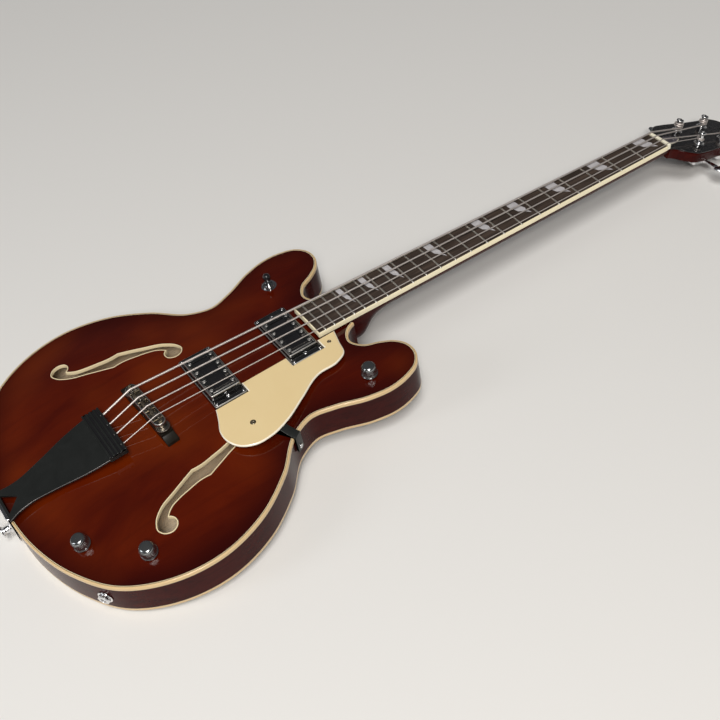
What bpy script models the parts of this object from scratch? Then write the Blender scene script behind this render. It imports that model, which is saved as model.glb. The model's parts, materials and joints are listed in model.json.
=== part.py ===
# Semi-hollow electric bass guitar with two cutaways, lying on its back as on a table.
# Metres, +Z up, +X towards the headstock, +Y towards the lowest string. The origin is under the middle.

import bpy
import bmesh
import numpy as np
from math import asin, atan2, ceil, cos, hypot, pi, radians, sin, tan
from mathutils import Matrix, Vector

mm = 0.001

# Body. Stations run from the tail end along the body, heights from the front edge of the binding.
BODY_LENGTH = 470 * mm
BODY_WIDTH = 409 * mm
BODY_DEPTH = 45 * mm
PLATE = 4.5 * mm            # thickness of the top and the back
RIM_WALL = 6 * mm           # bent side with its glued lining
BINDING_WIDTH = 2 * mm
TOP_ARCH = 11 * mm
TOP_ARCH_AT_NECK = 3 * mm
BACK_ARCH = 7 * mm
ARCH_RUN = 55 * mm          # how far in from the edge the arch rises
ARCH_FADE = (BODY_LENGTH - 270 * mm, BODY_LENGTH - 70 * mm)     # where the arch falls towards the neck
BLOCK_WIDTH = 104 * mm
CELL = 38 * mm              # facet size of the arched plates
GAP = 0.3 * mm              # clearance between pieces that touch
STEP_IN = 0.1 * mm          # keeps the faces of shapes that are fused from coinciding
CURVED_GAP = 0.9 * mm       # clearance between arched faces whose facets differ

# Half of the body's outline, from the neck joint round the horn to the tail end.
DRAWN_LENGTH = 470 * mm
DRAWN_WIDTH = 409 * mm
HALF_OUTLINE = [
    (441, 29), (428, 36.5), (422, 49), (430, 64.5), (447, 73.5), (461, 83.5),
    (469.5, 98), (469, 115), (459, 129.5), (439, 138.2), (418, 140.6), (390, 135.5),
    (352, 120), (325, 113.7), (301, 122.5), (262, 160.5), (215, 191), (160, 204.5),
    (105, 194.5), (58, 164.5), (29, 120), (9.5, 66), (0, 0)]
OUTLINE_STEPS = 2
MEASURE_STEPS = 16

# Sound hole: half of its edge, seen from its centre; the other half is the same, turned round.
F_HOLE_CENTRE = (191.5, 106)
F_HOLE_STEM = [(6.5, 10), (-6, 9.5), (-20, 12), (-34, 15), (-46, 19.5), (-53, 25.5)]
F_HOLE_LOBE = [(-53, 25.5), (-48.5, 32), (-50, 40), (-58, 44.5), (-67, 42), (-72, 34),
               (-68.5, 23), (-58, 12.5), (-34, 1.5), (-6.5, -10)]
F_HOLE_BINDING = 1.4 * mm

# Neck and strings
SCALE_LENGTH = 775 * mm
FRET_COUNT = 22
BOARD_PAST_LAST_FRET = 10.5 * mm
BOARD_OVER_BODY = 45.6 * mm
BOARD_END_HEIGHT = 13.4 * mm
BOARD_THICKNESS = 6 * mm
BOARD_RADIUS = 305 * mm
BOARD_BINDING = 1.5 * mm
NUT_WIDTH = 38.7 * mm
BOARD_END_WIDTH = 54.2 * mm
NUT_LENGTH = 5 * mm
NECK_ANGLE = radians(5)
NECK_DEPTH_AT_NUT = 15 * mm
NECK_DEPTH_AT_HEEL = 17.5 * mm
HEEL_DEPTH = 44 * mm
HEEL_LENGTH = 15 * mm       # of the heel's flat foot
KEEL = 0.97                 # the underside is flat from this share of its depth
TENON = (46 * mm, 40 * mm, 30 * mm)      # length, width, depth below the front edge
FRET_WIDTH = 2.2 * mm
FRET_HEIGHT = 1.0 * mm
TRUSS_ROD_RADIUS = 3 * mm
TRUSS_ROD_DEPTH = 14 * mm
STRING_RADII = {"e": 1.3 * mm, "a": 1.05 * mm, "d": 0.85 * mm, "g": 0.6 * mm}
SPREAD_AT_NUT = 32.4 * mm
SPREAD_AT_BRIDGE = 52.4 * mm
HEIGHT_AT_NUT = 1.4 * mm    # under the strings, over the fingerboard's plane
HEIGHT_AT_BRIDGE = 4 * mm

# Headstock and tuners
HEAD_ANGLE = radians(16)
HEAD_THICKNESS = 14 * mm
VENEER = 1.5 * mm
HEAD_DROP = 6 * mm
HALF_HEAD = [(0.5, 19.3), (8, 21), (20, 33), (33, 41.5), (48, 42), (85, 38.5), (120, 36.5),
             (142, 37), (154, 29), (160, 14), (163, 0)]
POSTS = {"e": (58, 20.5), "a": (110, 19), "d": (110, -19), "g": (58, -20.5)}
POST_RADIUS = 4 * mm
POST_HEIGHT = 17 * mm
WINDING_TURNS = 2
WINDING_BASE = 5.2 * mm
WINDING_STEPS = 24
WINDING_CLEARANCE = 0.45 * mm
WHEEL_RADIUS = 6.5 * mm
WORM_RADIUS = 3 * mm
HOUSING = (26 * mm, 22 * mm, 11 * mm)
KEY_REACH = 31 * mm         # from the post's axis line to the key blade
KEY_LENGTH = 22 * mm
KEY_THICKNESS = 5 * mm

# Bridge and tailpiece
BRIDGE_SLANT = radians(3)
BRIDGE_POST_OUTSIDE = 8.8 * mm      # a post's axis outside the outer string
BRIDGE_POST_SPACING = SPREAD_AT_BRIDGE + 2 * BRIDGE_POST_OUTSIDE
BRIDGE_BASE = (15 * mm, BRIDGE_POST_SPACING + 38 * mm, 10 * mm)
BRIDGE_BAR = (14 * mm, BRIDGE_POST_SPACING + 6 * mm, 6.6 * mm)
BAR_TRAY = (11 * mm, 5 * mm)    # width and depth of the slot in which the saddles slide
BAR_LIFT = 14 * mm          # underside of the bar over the top
THUMBWHEEL = (8.5 * mm, 2.4 * mm)
STUD_RADIUS = 2 * mm
SADDLE = (3.6 * mm, 9 * mm)
SADDLE_SETTING = {"e": -2.2 * mm, "a": -1 * mm, "d": 0.3 * mm, "g": 1.4 * mm}   # along the strings
BRIDGE_SET_BACK = 5 * mm    # of the bar's middle behind the scale length
BRIDGE_TO_TAILPIECE = 43 * mm
TAILPIECE_THICKNESS = 2.4 * mm
TAILPIECE_BLOCK = (21 * mm, 75 * mm, 8 * mm)
TAILPIECE_WAIST = (27 * mm, 18 * mm)
TAILPIECE_TAIL_HALF_WIDTH = 25 * mm
TAIL_HEIGHT = 5 * mm
BLOCK_HEIGHT = 27 * mm
ANCHOR_DEPTH = 3.6 * mm     # from the block's ribs down to the strings
RIB_COUNT = 5

# Electrics
PICKUP = (37.5 * mm, 69 * mm, 17 * mm)
RING = (41.5 * mm, 90.5 * mm, 3.6 * mm)
EAR_SPAN = 82 * mm
PICKUP_PROUD = {"neck": 3.8 * mm, "bridge": 7 * mm}
PICKUP_TRAVEL = 4 * mm      # downwards on the height screws
PICKUP_PITCH = radians(3)
NECK_PICKUP_TO_BOARD = 26.9 * mm
BRIDGE_PICKUP_TO_BRIDGE = 82 * mm
PICKUP_ROUTE_CLEARANCE = 1 * mm
HEIGHT_SCREW_RADIUS = 1.2 * mm
POLE_SPACING = 17.3 * mm
KNOB_RADIUS = 9.6 * mm
KNOB_HEIGHT = 15 * mm
KNOBS = {"tone": (50.7, -99.5), "volume": (101.5, -155), "master": (409, -108)}
SHAFT_RADIUS = 2.8 * mm
BUSH_RADIUS = 4.4 * mm
POT_RADIUS = 11.5 * mm
POT_DEPTH = 10 * mm
SWITCH = (398, 94)
SWITCH_NUT_RADIUS = 8 * mm
LEVER_PIVOT = 1 * mm        # below the top's surface
JACK_STATION = 42 * mm      # from the tail end, on the treble side
JACK_RADIUS = 6.2 * mm
JACK_BORE = 3.3 * mm

# Pickguard
GUARD_THICKNESS = 2.5 * mm
GUARD_HEIGHT = (14 * mm, 9 * mm)
GUARD_STATIONS = (270 * mm, 400 * mm)
GUARD_EDGE = [(408, -50), (403, -67), (389, -74.5), (363, -76), (329, -94), (300, -110),
              (276, -117.5), (255, -117), (240, -108), (232.5, -93), (232.5, -78), (239, -62)]
GUARD_SCREWS = [(268, -89), (399, -42)]
BRACKET = (11 * mm, 1.2 * mm, 34 * mm, 24 * mm)   # width, thickness, reach inwards, drop
BRACKET_STATION = 297 * mm
BRACKET_STANDOFF = 1.9 * mm  # from the rim, which curves towards it

lengthFactor = BODY_LENGTH / DRAWN_LENGTH
widthFactor = BODY_WIDTH / DRAWN_WIDTH


def plan(x, y):
    """A drawn station in millimetres, as a place on the body."""
    return x * mm * lengthFactor, y * mm * widthFactor


# Start from an empty scene
for old in list(bpy.data.objects):
    bpy.data.objects.remove(old, do_unlink=True)


# Materials
def finish(name, colour, roughness, metallic=0.0):
    made = bpy.data.materials.new(name)
    made.use_nodes = True
    shader = made.node_tree.nodes["Principled BSDF"]
    shader.inputs["Base Color"].default_value = (*colour, 1)
    shader.inputs["Roughness"].default_value = roughness
    shader.inputs["Metallic"].default_value = metallic
    return made


walnut = finish("walnut_gloss", (0.10, 0.012, 0.003), 0.12)
cherry = finish("cherry_gloss", (0.05, 0.004, 0.004), 0.15)
maple = finish("bare_maple", (0.55, 0.38, 0.2), 0.6)
cream = finish("cream_plastic", (0.80, 0.66, 0.38), 0.3)
rosewood = finish("rosewood", (0.045, 0.022, 0.014), 0.45)
ebony = finish("dark_wood", (0.012, 0.010, 0.010), 0.4)
bone = finish("nut_bone", (0.85, 0.80, 0.66), 0.4)
nickel = finish("dark_nickel", (0.30, 0.31, 0.32), 0.15, 1.0)
chrome = finish("chrome", (0.75, 0.76, 0.78), 0.08, 1.0)
wound = finish("wound_steel", (0.62, 0.58, 0.54), 0.3, 1.0)
black = finish("black_metal", (0.02, 0.022, 0.022), 0.4, 0.6)
steel = finish("steel", (0.5, 0.5, 0.5), 0.35, 1.0)


# Objects
def place(thing, frame, hidden):
    bpy.context.scene.collection.objects.link(thing)
    thing.parent = frame
    if hidden:
        thing.hide_render = True
        thing.display_type = "WIRE"
    return thing


def empty_frame(name, parent, matrix):
    made = bpy.data.objects.new(name, None)
    bpy.context.scene.collection.objects.link(made)
    made.parent = parent
    made.matrix_local = matrix
    return made


def solid(name, shape, frame, look, hidden=False, at=None):
    """A closed solid from (vertices, faces), with its faces turned outwards."""
    mesh = bpy.data.meshes.new(name)
    mesh.from_pydata([tuple(v) for v in shape[0]], [], shape[1])
    work = bmesh.new()
    work.from_mesh(mesh)
    bmesh.ops.recalc_face_normals(work, faces=work.faces[:])
    work.to_mesh(mesh)
    work.free()
    mesh.shade_smooth()
    mesh.set_sharp_from_angle(angle=radians(35))
    mesh.materials.append(look)
    thing = bpy.data.objects.new(name, mesh)
    place(thing, frame, hidden)
    if at is not None:
        thing.matrix_local = at
    return thing


def boolean(target, tool, operation):
    tool.hide_render = True
    tool.display_type = "WIRE"
    step = target.modifiers.new(tool.name, "BOOLEAN")
    step.operation = operation
    step.object = tool


def cut(target, *tools):
    for tool in tools:
        boolean(target, tool, "DIFFERENCE")


def fuse(target, *tools):
    for tool in tools:
        boolean(target, tool, "UNION")


# Shapes, each as (vertices, faces)
def prism(points, low, high, axis="z"):
    """A plan outline carried from low to high along an axis."""
    order = {"z": lambda a, b, c: (a, b, c), "x": lambda a, b, c: (c, a, b),
             "y": lambda a, b, c: (a, c, b)}[axis]
    count = len(points)
    verts = [order(a, b, level) for level in (low, high) for a, b in points]
    faces = [tuple(range(count)), tuple(range(count, 2 * count))]
    faces += [(i, (i + 1) % count, count + (i + 1) % count, count + i) for i in range(count)]
    return verts, faces


def box(x0, x1, y0, y1, z0, z1):
    return prism([(x0, y0), (x1, y0), (x1, y1), (x0, y1)], z0, z1)


def loft(rings):
    """Rings of equally many points, joined in order and closed at both ends."""
    count = len(rings[0])
    verts = [p for ring in rings for p in ring]
    last = (len(rings) - 1) * count
    faces = [tuple(range(count)), tuple(range(last, last + count))]
    for k in range(len(rings) - 1):
        for i in range(count):
            j = (i + 1) % count
            faces.append((k * count + i, k * count + j, (k + 1) * count + j, (k + 1) * count + i))
    return verts, faces


def turned(profile, sides=12):
    """A profile of (radius, height) turned about Z; the ends lie on the axis, or else it closes on itself."""
    ring = profile[0][0] > 0
    verts, rows = [], []
    for radius, height in profile:
        if radius == 0:
            rows.append([len(verts)] * sides)
            verts.append((0, 0, height))
            continue
        rows.append(list(range(len(verts), len(verts) + sides)))
        turns = [2 * pi * i / sides for i in range(sides)]
        verts += [(radius * cos(t), radius * sin(t), height) for t in turns]
    faces = []
    for k in range(len(rows) if ring else len(rows) - 1):
        lower, upper = rows[k], rows[(k + 1) % len(rows)]
        for i in range(sides):
            j = (i + 1) % sides
            corners = [lower[i], lower[j], upper[j], upper[i]]
            faces.append(tuple(dict.fromkeys(corners)))
    return verts, faces


def rounded(width, height, radius, steps=4):
    """A rectangle with round corners, round the origin."""
    points = []
    for k, (sx, sy) in enumerate([(1, 1), (-1, 1), (-1, -1), (1, -1)]):
        for i in range(steps + 1):
            turn = pi / 2 * (k + i / steps)
            points.append((sx * (width / 2 - radius) + radius * cos(turn),
                           sy * (height / 2 - radius) + radius * sin(turn)))
    return points


def strip(outer, inner, upper, lower, closed):
    """A band between two edges of equally many points, between two height functions."""
    count = len(outer)
    verts = []
    for edge, height in ((outer, upper), (outer, lower), (inner, lower), (inner, upper)):
        levels = height(np.array([p[0] for p in edge]), np.array([p[1] for p in edge]))
        verts += [(x, y, z) for (x, y), z in zip(edge, levels)]
    faces = []
    for i in range(count if closed else count - 1):
        j = (i + 1) % count
        for k in range(4):
            a, b = k * count, (k + 1) % 4 * count
            faces.append((a + i, a + j, b + j, b + i))
    if not closed:
        faces += [tuple(k * count + end for k in range(4)) for end in (0, count - 1)]
    return verts, faces


def slab(edge, upper, lower, cell=CELL):
    """A plate over a plan outline, split into cells so that it follows two height functions."""
    work = bmesh.new()
    work.faces.new([work.verts.new((x, y, 0)) for x, y in edge])
    for axis in (0, 1):
        low, high = min(p[axis] for p in edge), max(p[axis] for p in edge)
        count = max(1, ceil((high - low) / cell))
        normal = (1, 0, 0) if axis == 0 else (0, 1, 0)
        for k in range(1, count):
            station = low + (high - low) * k / count
            point = (station, 0, 0) if axis == 0 else (0, station, 0)
            everything = work.verts[:] + work.edges[:] + work.faces[:]
            bmesh.ops.bisect_plane(work, geom=everything, dist=1e-6, plane_co=point, plane_no=normal)
    bmesh.ops.recalc_face_normals(work, faces=work.faces[:])
    if work.faces[:][0].normal.z < 0:
        bmesh.ops.reverse_faces(work, faces=work.faces[:])
    work.verts.index_update()
    x = np.array([v.co.x for v in work.verts])
    y = np.array([v.co.y for v in work.verts])
    count = len(x)
    verts = [(a, b, c) for height in (upper, lower) for a, b, c in zip(x, y, height(x, y))]
    faces = []
    for face in work.faces:
        ring = [v.index for v in face.verts]
        faces.append(tuple(ring))
        faces.append(tuple(i + count for i in reversed(ring)))
        for loop in face.loops:
            if loop.edge.is_boundary:
                a, b = loop.vert.index, loop.link_loop_next.vert.index
                faces.append((b, a, a + count, b + count))
    work.free()
    return verts, faces


def smooth_curve(points, steps):
    """A smooth line through the points, whose direction at each follows its two neighbours."""
    p = np.array(points, float)
    chord = np.hypot(*(p[1:] - p[:-1]).T)
    slope = (p[1:] - p[:-1]) / chord[:, None]
    middle = (slope[:-1] * chord[1:, None] + slope[1:] * chord[:-1, None]) / (chord[1:] + chord[:-1])[:, None]
    tangent = np.vstack([2 * slope[0] - middle[0], middle, 2 * slope[-1] - middle[-1]])
    line = []
    for i, length in enumerate(chord):
        for k in range(steps):
            t = k / steps
            line.append(p[i] * (2 * t**3 - 3 * t**2 + 1) + p[i + 1] * (3 * t**2 - 2 * t**3)
                        + length * tangent[i] * (t**3 - 2 * t**2 + t)
                        + length * tangent[i + 1] * (t**3 - t**2))
    line.append(p[-1])
    return [tuple(q) for q in line]


def inset(points, distance, closed=False):
    """The line moved to its left by a distance, with mitred corners."""
    p = np.array(points, float)
    ahead, behind = np.roll(p, -1, 0), np.roll(p, 1, 0)
    if not closed:
        ahead[-1] = 2 * p[-1] - p[-2]
        behind[0] = 2 * p[0] - p[1]
    before = (p - behind) / np.hypot(*(p - behind).T)[:, None]
    after = (ahead - p) / np.hypot(*(ahead - p).T)[:, None]
    normals = [np.stack([-d[:, 1], d[:, 0]], 1) for d in (before, after)]
    middle = normals[0] + normals[1]
    middle /= np.maximum((middle * normals[0]).sum(1), 0.8)[:, None]
    return [tuple(q) for q in p + distance * middle]


# Body plan: the outline runs anticlockwise, from the lowest string's side of the neck round the tail
halfEdge = [plan(x, y) for x, y in HALF_OUTLINE]
wholeEdge = halfEdge + [(x, -y) for x, y in reversed(halfEdge[:-1])]
bodyEdge = smooth_curve(wholeEdge, OUTLINE_STEPS)
neckJoint = halfEdge[0][0]

# Points all round the body, closer together, from which the distance to the edge is taken
fineEdge = np.array(smooth_curve(wholeEdge, MEASURE_STEPS))
neckFace = [(neckJoint, y) for y in np.linspace(fineEdge[-1][1], fineEdge[0][1], 24)[1:-1]]
fineEdge = np.vstack([fineEdge, neckFace])
fineStep = np.hypot(*(np.roll(fineEdge, -1, 0) - fineEdge).T)


def edge_distance(x, y):
    """A smooth stand-in for the distance to the body's edge: the sixth-power mean of all distances."""
    square = (np.asarray(x)[:, None] - fineEdge[:, 0])**2 + (np.asarray(y)[:, None] - fineEdge[:, 1])**2
    total = (fineStep / np.maximum(square, 1e-8)**3).sum(1)
    return (total / (3 * pi / 8))**-0.2


def rise(x, y):
    return 1 - np.exp(-(edge_distance(x, y) / ARCH_RUN)**2)


def top_height(x, y):
    """Outside of the arched top over the front edge; the arch is lower towards the neck."""
    share = np.clip((np.asarray(x) - ARCH_FADE[0]) / (ARCH_FADE[1] - ARCH_FADE[0]), 0, 1)
    fade = share**2 * (3 - 2 * share)
    return (TOP_ARCH + (TOP_ARCH_AT_NECK - TOP_ARCH) * fade) * rise(x, y)


def back_height(x, y):
    """Outside of the arched back."""
    return -BODY_DEPTH - BACK_ARCH * rise(x, y)


def level(height):
    return lambda x, y: np.full(len(x), float(height))


def top_at(x, y):
    return float(top_height(np.array([x]), np.array([y]))[0])


def top_matrix(x, y):
    """A frame standing on the top, square to it."""
    step = 2 * mm
    up = Vector((top_at(x - step, y) - top_at(x + step, y), top_at(x, y - step) - top_at(x, y + step),
                 2 * step)).normalized()
    turn = Vector((0, 0, 1)).rotation_difference(up).to_matrix().to_4x4()
    return Matrix.Translation((x, y, top_at(x, y))) @ turn


# Frames: body, neck and headstock
boardLength = SCALE_LENGTH * (1 - 2**(-FRET_COUNT / 12)) + BOARD_PAST_LAST_FRET
boardEnd = neckJoint - BOARD_OVER_BODY
neckMatrix = (Matrix.Translation((boardEnd, 0, BOARD_END_HEIGHT)) @ Matrix.Rotation(NECK_ANGLE, 4, "Y")
              @ Matrix.Translation((boardLength, 0, 0)))
headMatrix = (neckMatrix @ Matrix.Translation((NUT_LENGTH + GAP, 0, -HEAD_DROP))
              @ Matrix.Rotation(HEAD_ANGLE, 4, "Y"))
body = empty_frame("body_frame", None, Matrix.Identity(4))
neckFrame = empty_frame("neck_frame", body, neckMatrix)
headFrame = empty_frame("head_frame", body, headMatrix)


def on_neck(x_body, z_neck):
    """Station along the neck, from the nut, of a body station at that height in the neck's frame."""
    return (x_body - neckMatrix.translation.x - z_neck * sin(NECK_ANGLE)) / cos(NECK_ANGLE)


bridgeStation = (neckMatrix @ Vector((-SCALE_LENGTH - BRIDGE_SET_BACK, 0, 0))).x
bridgeTop = top_at(bridgeStation, 0)


# Body shell
def make_shell():
    rimTop, rimFoot = -PLATE - GAP, -BODY_DEPTH + PLATE + GAP
    rim = solid("body_rim", strip(bodyEdge, inset(bodyEdge, RIM_WALL), level(rimTop), level(rimFoot), True),
                body, cherry)
    plateEdge = inset(bodyEdge, BINDING_WIDTH + GAP)
    top = solid("body_top", slab(plateEdge, top_height, lambda x, y: top_height(x, y) - PLATE), body, walnut)
    solid("body_back", slab(plateEdge, lambda x, y: back_height(x, y) + PLATE, back_height), body, cherry)
    ledge = inset(bodyEdge, BINDING_WIDTH)
    solid("front_binding", strip(bodyEdge, ledge, level(0), level(-PLATE), False), body, cream)
    solid("back_binding", strip(bodyEdge, ledge, level(PLATE - BODY_DEPTH), level(-BODY_DEPTH), False),
          body, cream)
    inside = inset(bodyEdge, RIM_WALL + GAP)
    blockEdge = [p for p in inside if abs(p[1]) < BLOCK_WIDTH / 2]
    block = solid("centre_block", slab(blockEdge, lambda x, y: top_height(x, y) - PLATE - CURVED_GAP,
                                       lambda x, y: back_height(x, y) + PLATE + CURVED_GAP), body, maple)
    return rim, top, block


def f_hole_edge(side):
    half = smooth_curve(F_HOLE_STEM, 2)[:-1] + smooth_curve(F_HOLE_LOBE, 2)[:-1]
    whole = half + [(-x, -y) for x, y in half]
    cx, cy = F_HOLE_CENTRE
    points = [plan(cx + x, side * (cy + y)) for x, y in whole]
    return points if side > 0 else points[::-1]


def make_f_holes(top):
    for name, side in (("bass", 1), ("treble", -1)):
        edge = f_hole_edge(side)
        cut(top, solid("f_hole_" + name, prism(edge, -2 * PLATE, 2 * TOP_ARCH), body, cream, True))
        outer, inner = inset(edge, GAP, True), inset(edge, GAP + F_HOLE_BINDING, True)
        lining = strip(outer, inner, top_height, lambda x, y: top_height(x, y) - PLATE, True)
        solid("f_hole_binding_" + name, lining, body, cream)


# Neck, fingerboard and headstock
def half_width(station):
    """Half the fingerboard's width at a station from the nut, which is negative towards the body."""
    return (NUT_WIDTH + (BOARD_END_WIDTH - NUT_WIDTH) * -station / boardLength) / 2


def crown(y):
    return -y * y / (2 * BOARD_RADIUS)


def neck_ring(station, top, depth, half, fullness, lean=0.0):
    """Flat-topped section whose underside is a rounded curve; lean slants it to stand square to the body."""
    ring = [(half, top), (-half, top)]
    for i in range(1, 10):
        turn = pi * i / 10
        ring.append((-half * np.sign(cos(turn)) * abs(cos(turn))**fullness,
                     top - depth * min(1, sin(turn)**fullness / KEEL)))
    return [(station - lean * z * tan(NECK_ANGLE), y, z) for y, z in ring]


def make_neck(top, block, rim):
    underBoard = -BOARD_THICKNESS - GAP
    joint = on_neck(neckJoint + GAP, 0)
    heel = [(0, HEEL_DEPTH, 0.45, 1), (HEEL_LENGTH, HEEL_DEPTH, 0.5, 1), (22 * mm, 38 * mm, 0.6, 0.6),
            (30 * mm, 28 * mm, 0.75, 0.3), (40 * mm, 21 * mm, 0.85, 0), (56 * mm, NECK_DEPTH_AT_HEEL, 0.9, 0)]
    rings = [neck_ring(joint + run, underBoard, depth, half_width(joint + run) - GAP, full, lean)
             for run, depth, full, lean in heel]
    nutHalf = half_width(0)
    rings.append(neck_ring(-30 * mm, underBoard, NECK_DEPTH_AT_NUT, half_width(-30 * mm) - GAP, 0.9))
    rings.append(neck_ring(NUT_LENGTH, underBoard, NECK_DEPTH_AT_NUT, nutHalf, 0.8))
    step = NUT_LENGTH + GAP
    under = -HEAD_DROP - VENEER - 2 * GAP
    rings.append(neck_ring(step, under, NECK_DEPTH_AT_NUT - 1 * mm, nutHalf, 0.8))
    run = 26 * mm
    rings.append(neck_ring(step + run, under - run * tan(HEAD_ANGLE), 9 * mm, nutHalf, 0.6))
    neck = solid("neck", loft(rings), neckFrame, cherry)

    headEdge = smooth_curve([(x * mm, y * mm) for x, y in HALF_HEAD], 2)
    headEdge = headEdge + [(x, -y) for x, y in reversed(headEdge[:-1])]
    wood = -VENEER - GAP
    slabOfHead = solid("head_slab", prism(headEdge, wood - HEAD_THICKNESS, wood), headFrame, cherry, True)
    veneer = solid("headstock_veneer", prism(headEdge, -VENEER, 0), headFrame, black)

    length, width, depth = TENON
    tenonStart = neckJoint - length
    tongueEnd = on_neck(boardEnd, underBoard)
    shallow, deep = 0.8 * mm, 2.6 * mm
    half = half_width(joint) - GAP - STEP_IN
    upper = underBoard - STEP_IN
    tongue = solid("neck_tongue", prism([(boardEnd, deep), (neckJoint + 4 * mm, shallow),
                                         (neckJoint + 4 * mm, -2 * mm), (neckJoint + 8 * mm, -2 * mm),
                                         body_point(on_neck(neckJoint + 8 * mm, upper), upper),
                                         body_point(tongueEnd, upper)], -half, half, "y"),
                   body, cherry, True)
    tenon = solid("neck_tenon", box(tenonStart, neckJoint + 3 * mm, -width / 2, width / 2, -depth,
                                    deep - 4 * STEP_IN), body, cherry, True)
    fuse(neck, slabOfHead, tongue, tenon)

    pocket = solid("neck_pocket", box(tenonStart - GAP, neckJoint + 20 * mm, -width / 2 - GAP,
                                      width / 2 + GAP, -depth - GAP, 20 * mm), body, cherry, True)
    for piece in (top, block, rim):
        cut(piece, pocket)

    channelHalf = TRUSS_ROD_RADIUS + GAP
    rodEnd = 16 * mm
    channel = solid("rod_channel", box(joint + 40 * mm, NUT_LENGTH + 2 * mm, -channelHalf, channelHalf,
                                       -TRUSS_ROD_DEPTH - channelHalf, 0), neckFrame, cherry, True)
    rodPocket = solid("rod_pocket", box(NUT_LENGTH + 1.5 * mm, rodEnd + 4 * mm, -5 * mm, 5 * mm,
                                        -TRUSS_ROD_DEPTH - 5 * mm, 0), neckFrame, cherry, True)
    cut(neck, channel, rodPocket)
    cut(veneer, rodPocket)
    rodTurn = Matrix.Translation((joint + 42 * mm, 0, -TRUSS_ROD_DEPTH)) @ Matrix.Rotation(pi / 2, 4, "Y")
    rodLength = rodEnd - joint - 42 * mm
    rodNut = rodEnd - NUT_LENGTH - 3 * mm
    rod = [(0, 0), (TRUSS_ROD_RADIUS, 0), (TRUSS_ROD_RADIUS, rodLength - rodNut),
           (3.8 * mm, rodLength - rodNut), (3.8 * mm, rodLength), (0, rodLength)]
    solid("truss_rod", turned(rod, 12), neckFrame, steel, at=rodTurn)
    cover = smooth_curve([(1.5 * mm, 8 * mm), (9 * mm, 9.5 * mm), (22 * mm, 8.5 * mm),
                          (32 * mm, 5 * mm), (38 * mm, 0)], 2)
    cover = cover + [(x, -y) for x, y in reversed(cover[:-1])]
    solid("truss_rod_cover", prism(cover, GAP, GAP + 1.8 * mm), headFrame, black)
    return neck, veneer


def body_point(station, z):
    """(x, z) in the body's frame of a point on the neck's middle plane."""
    point = neckMatrix @ Vector((station, 0, z))
    return point.x, point.z


def make_fingerboard():
    """Board whose top is crowned across and carries a ridge for each fret."""
    across = (-1, 0, 1)
    slots = [-SCALE_LENGTH * (1 - 2**(-n / 12)) for n in range(FRET_COUNT, 0, -1)]
    half = FRET_WIDTH / 2
    lip = half / 2
    profile = [(-boardLength + BOARD_BINDING + GAP, 0.0)]
    for slot in slots:
        profile += [(slot - half, 0.0), (slot - lip, FRET_HEIGHT), (slot + lip, FRET_HEIGHT),
                    (slot + half, 0.0)]
    profile.append((0.0, 0.0))
    rings = []
    for station, lift in profile:
        side = half_width(station) - BOARD_BINDING - GAP
        ring = [(station, side * a, crown(side * a) + lift) for a in across]
        ring += [(station, side, -BOARD_THICKNESS), (station, -side, -BOARD_THICKNESS)]
        rings.append(ring)
    solid("fingerboard", loft(rings), neckFrame, rosewood)

    side = [(0.0, half_width(0)), (-boardLength, half_width(-boardLength))]
    outer = side + [(x, -y) for x, y in reversed(side)]
    thin = BOARD_BINDING
    inner = [(0.0, side[0][1] - thin), (thin - boardLength, side[1][1] - thin)]
    inner += [(x, -y) for x, y in reversed(inner)]
    trim = strip(outer, inner, lambda x, y: crown(y), level(-BOARD_THICKNESS), False)
    solid("fingerboard_binding", trim, neckFrame, cream)


def string_side(name, spread):
    return {"e": 0.5, "a": 1 / 6, "d": -1 / 6, "g": -0.5}[name] * spread


def make_nut():
    """Bone nut with a square notch for each string."""
    half = NUT_WIDTH / 2
    crest = HEIGHT_AT_NUT + 1.1 * mm
    profile = [(half, -BOARD_THICKNESS), (half, crest - 0.8 * mm), (half - 1 * mm, crest)]
    for name in "eadg":
        y, r = string_side(name, SPREAD_AT_NUT), STRING_RADII[name] + GAP
        floor = HEIGHT_AT_NUT + crown(y) - GAP
        profile += [(y + r, crest), (y + r, floor), (y - r, floor), (y - r, crest)]
    profile += [(1 * mm - half, crest), (-half, crest - 0.8 * mm), (-half, -BOARD_THICKNESS)]
    solid("nut", prism(profile, GAP, NUT_LENGTH, "x"), neckFrame, bone)


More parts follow.
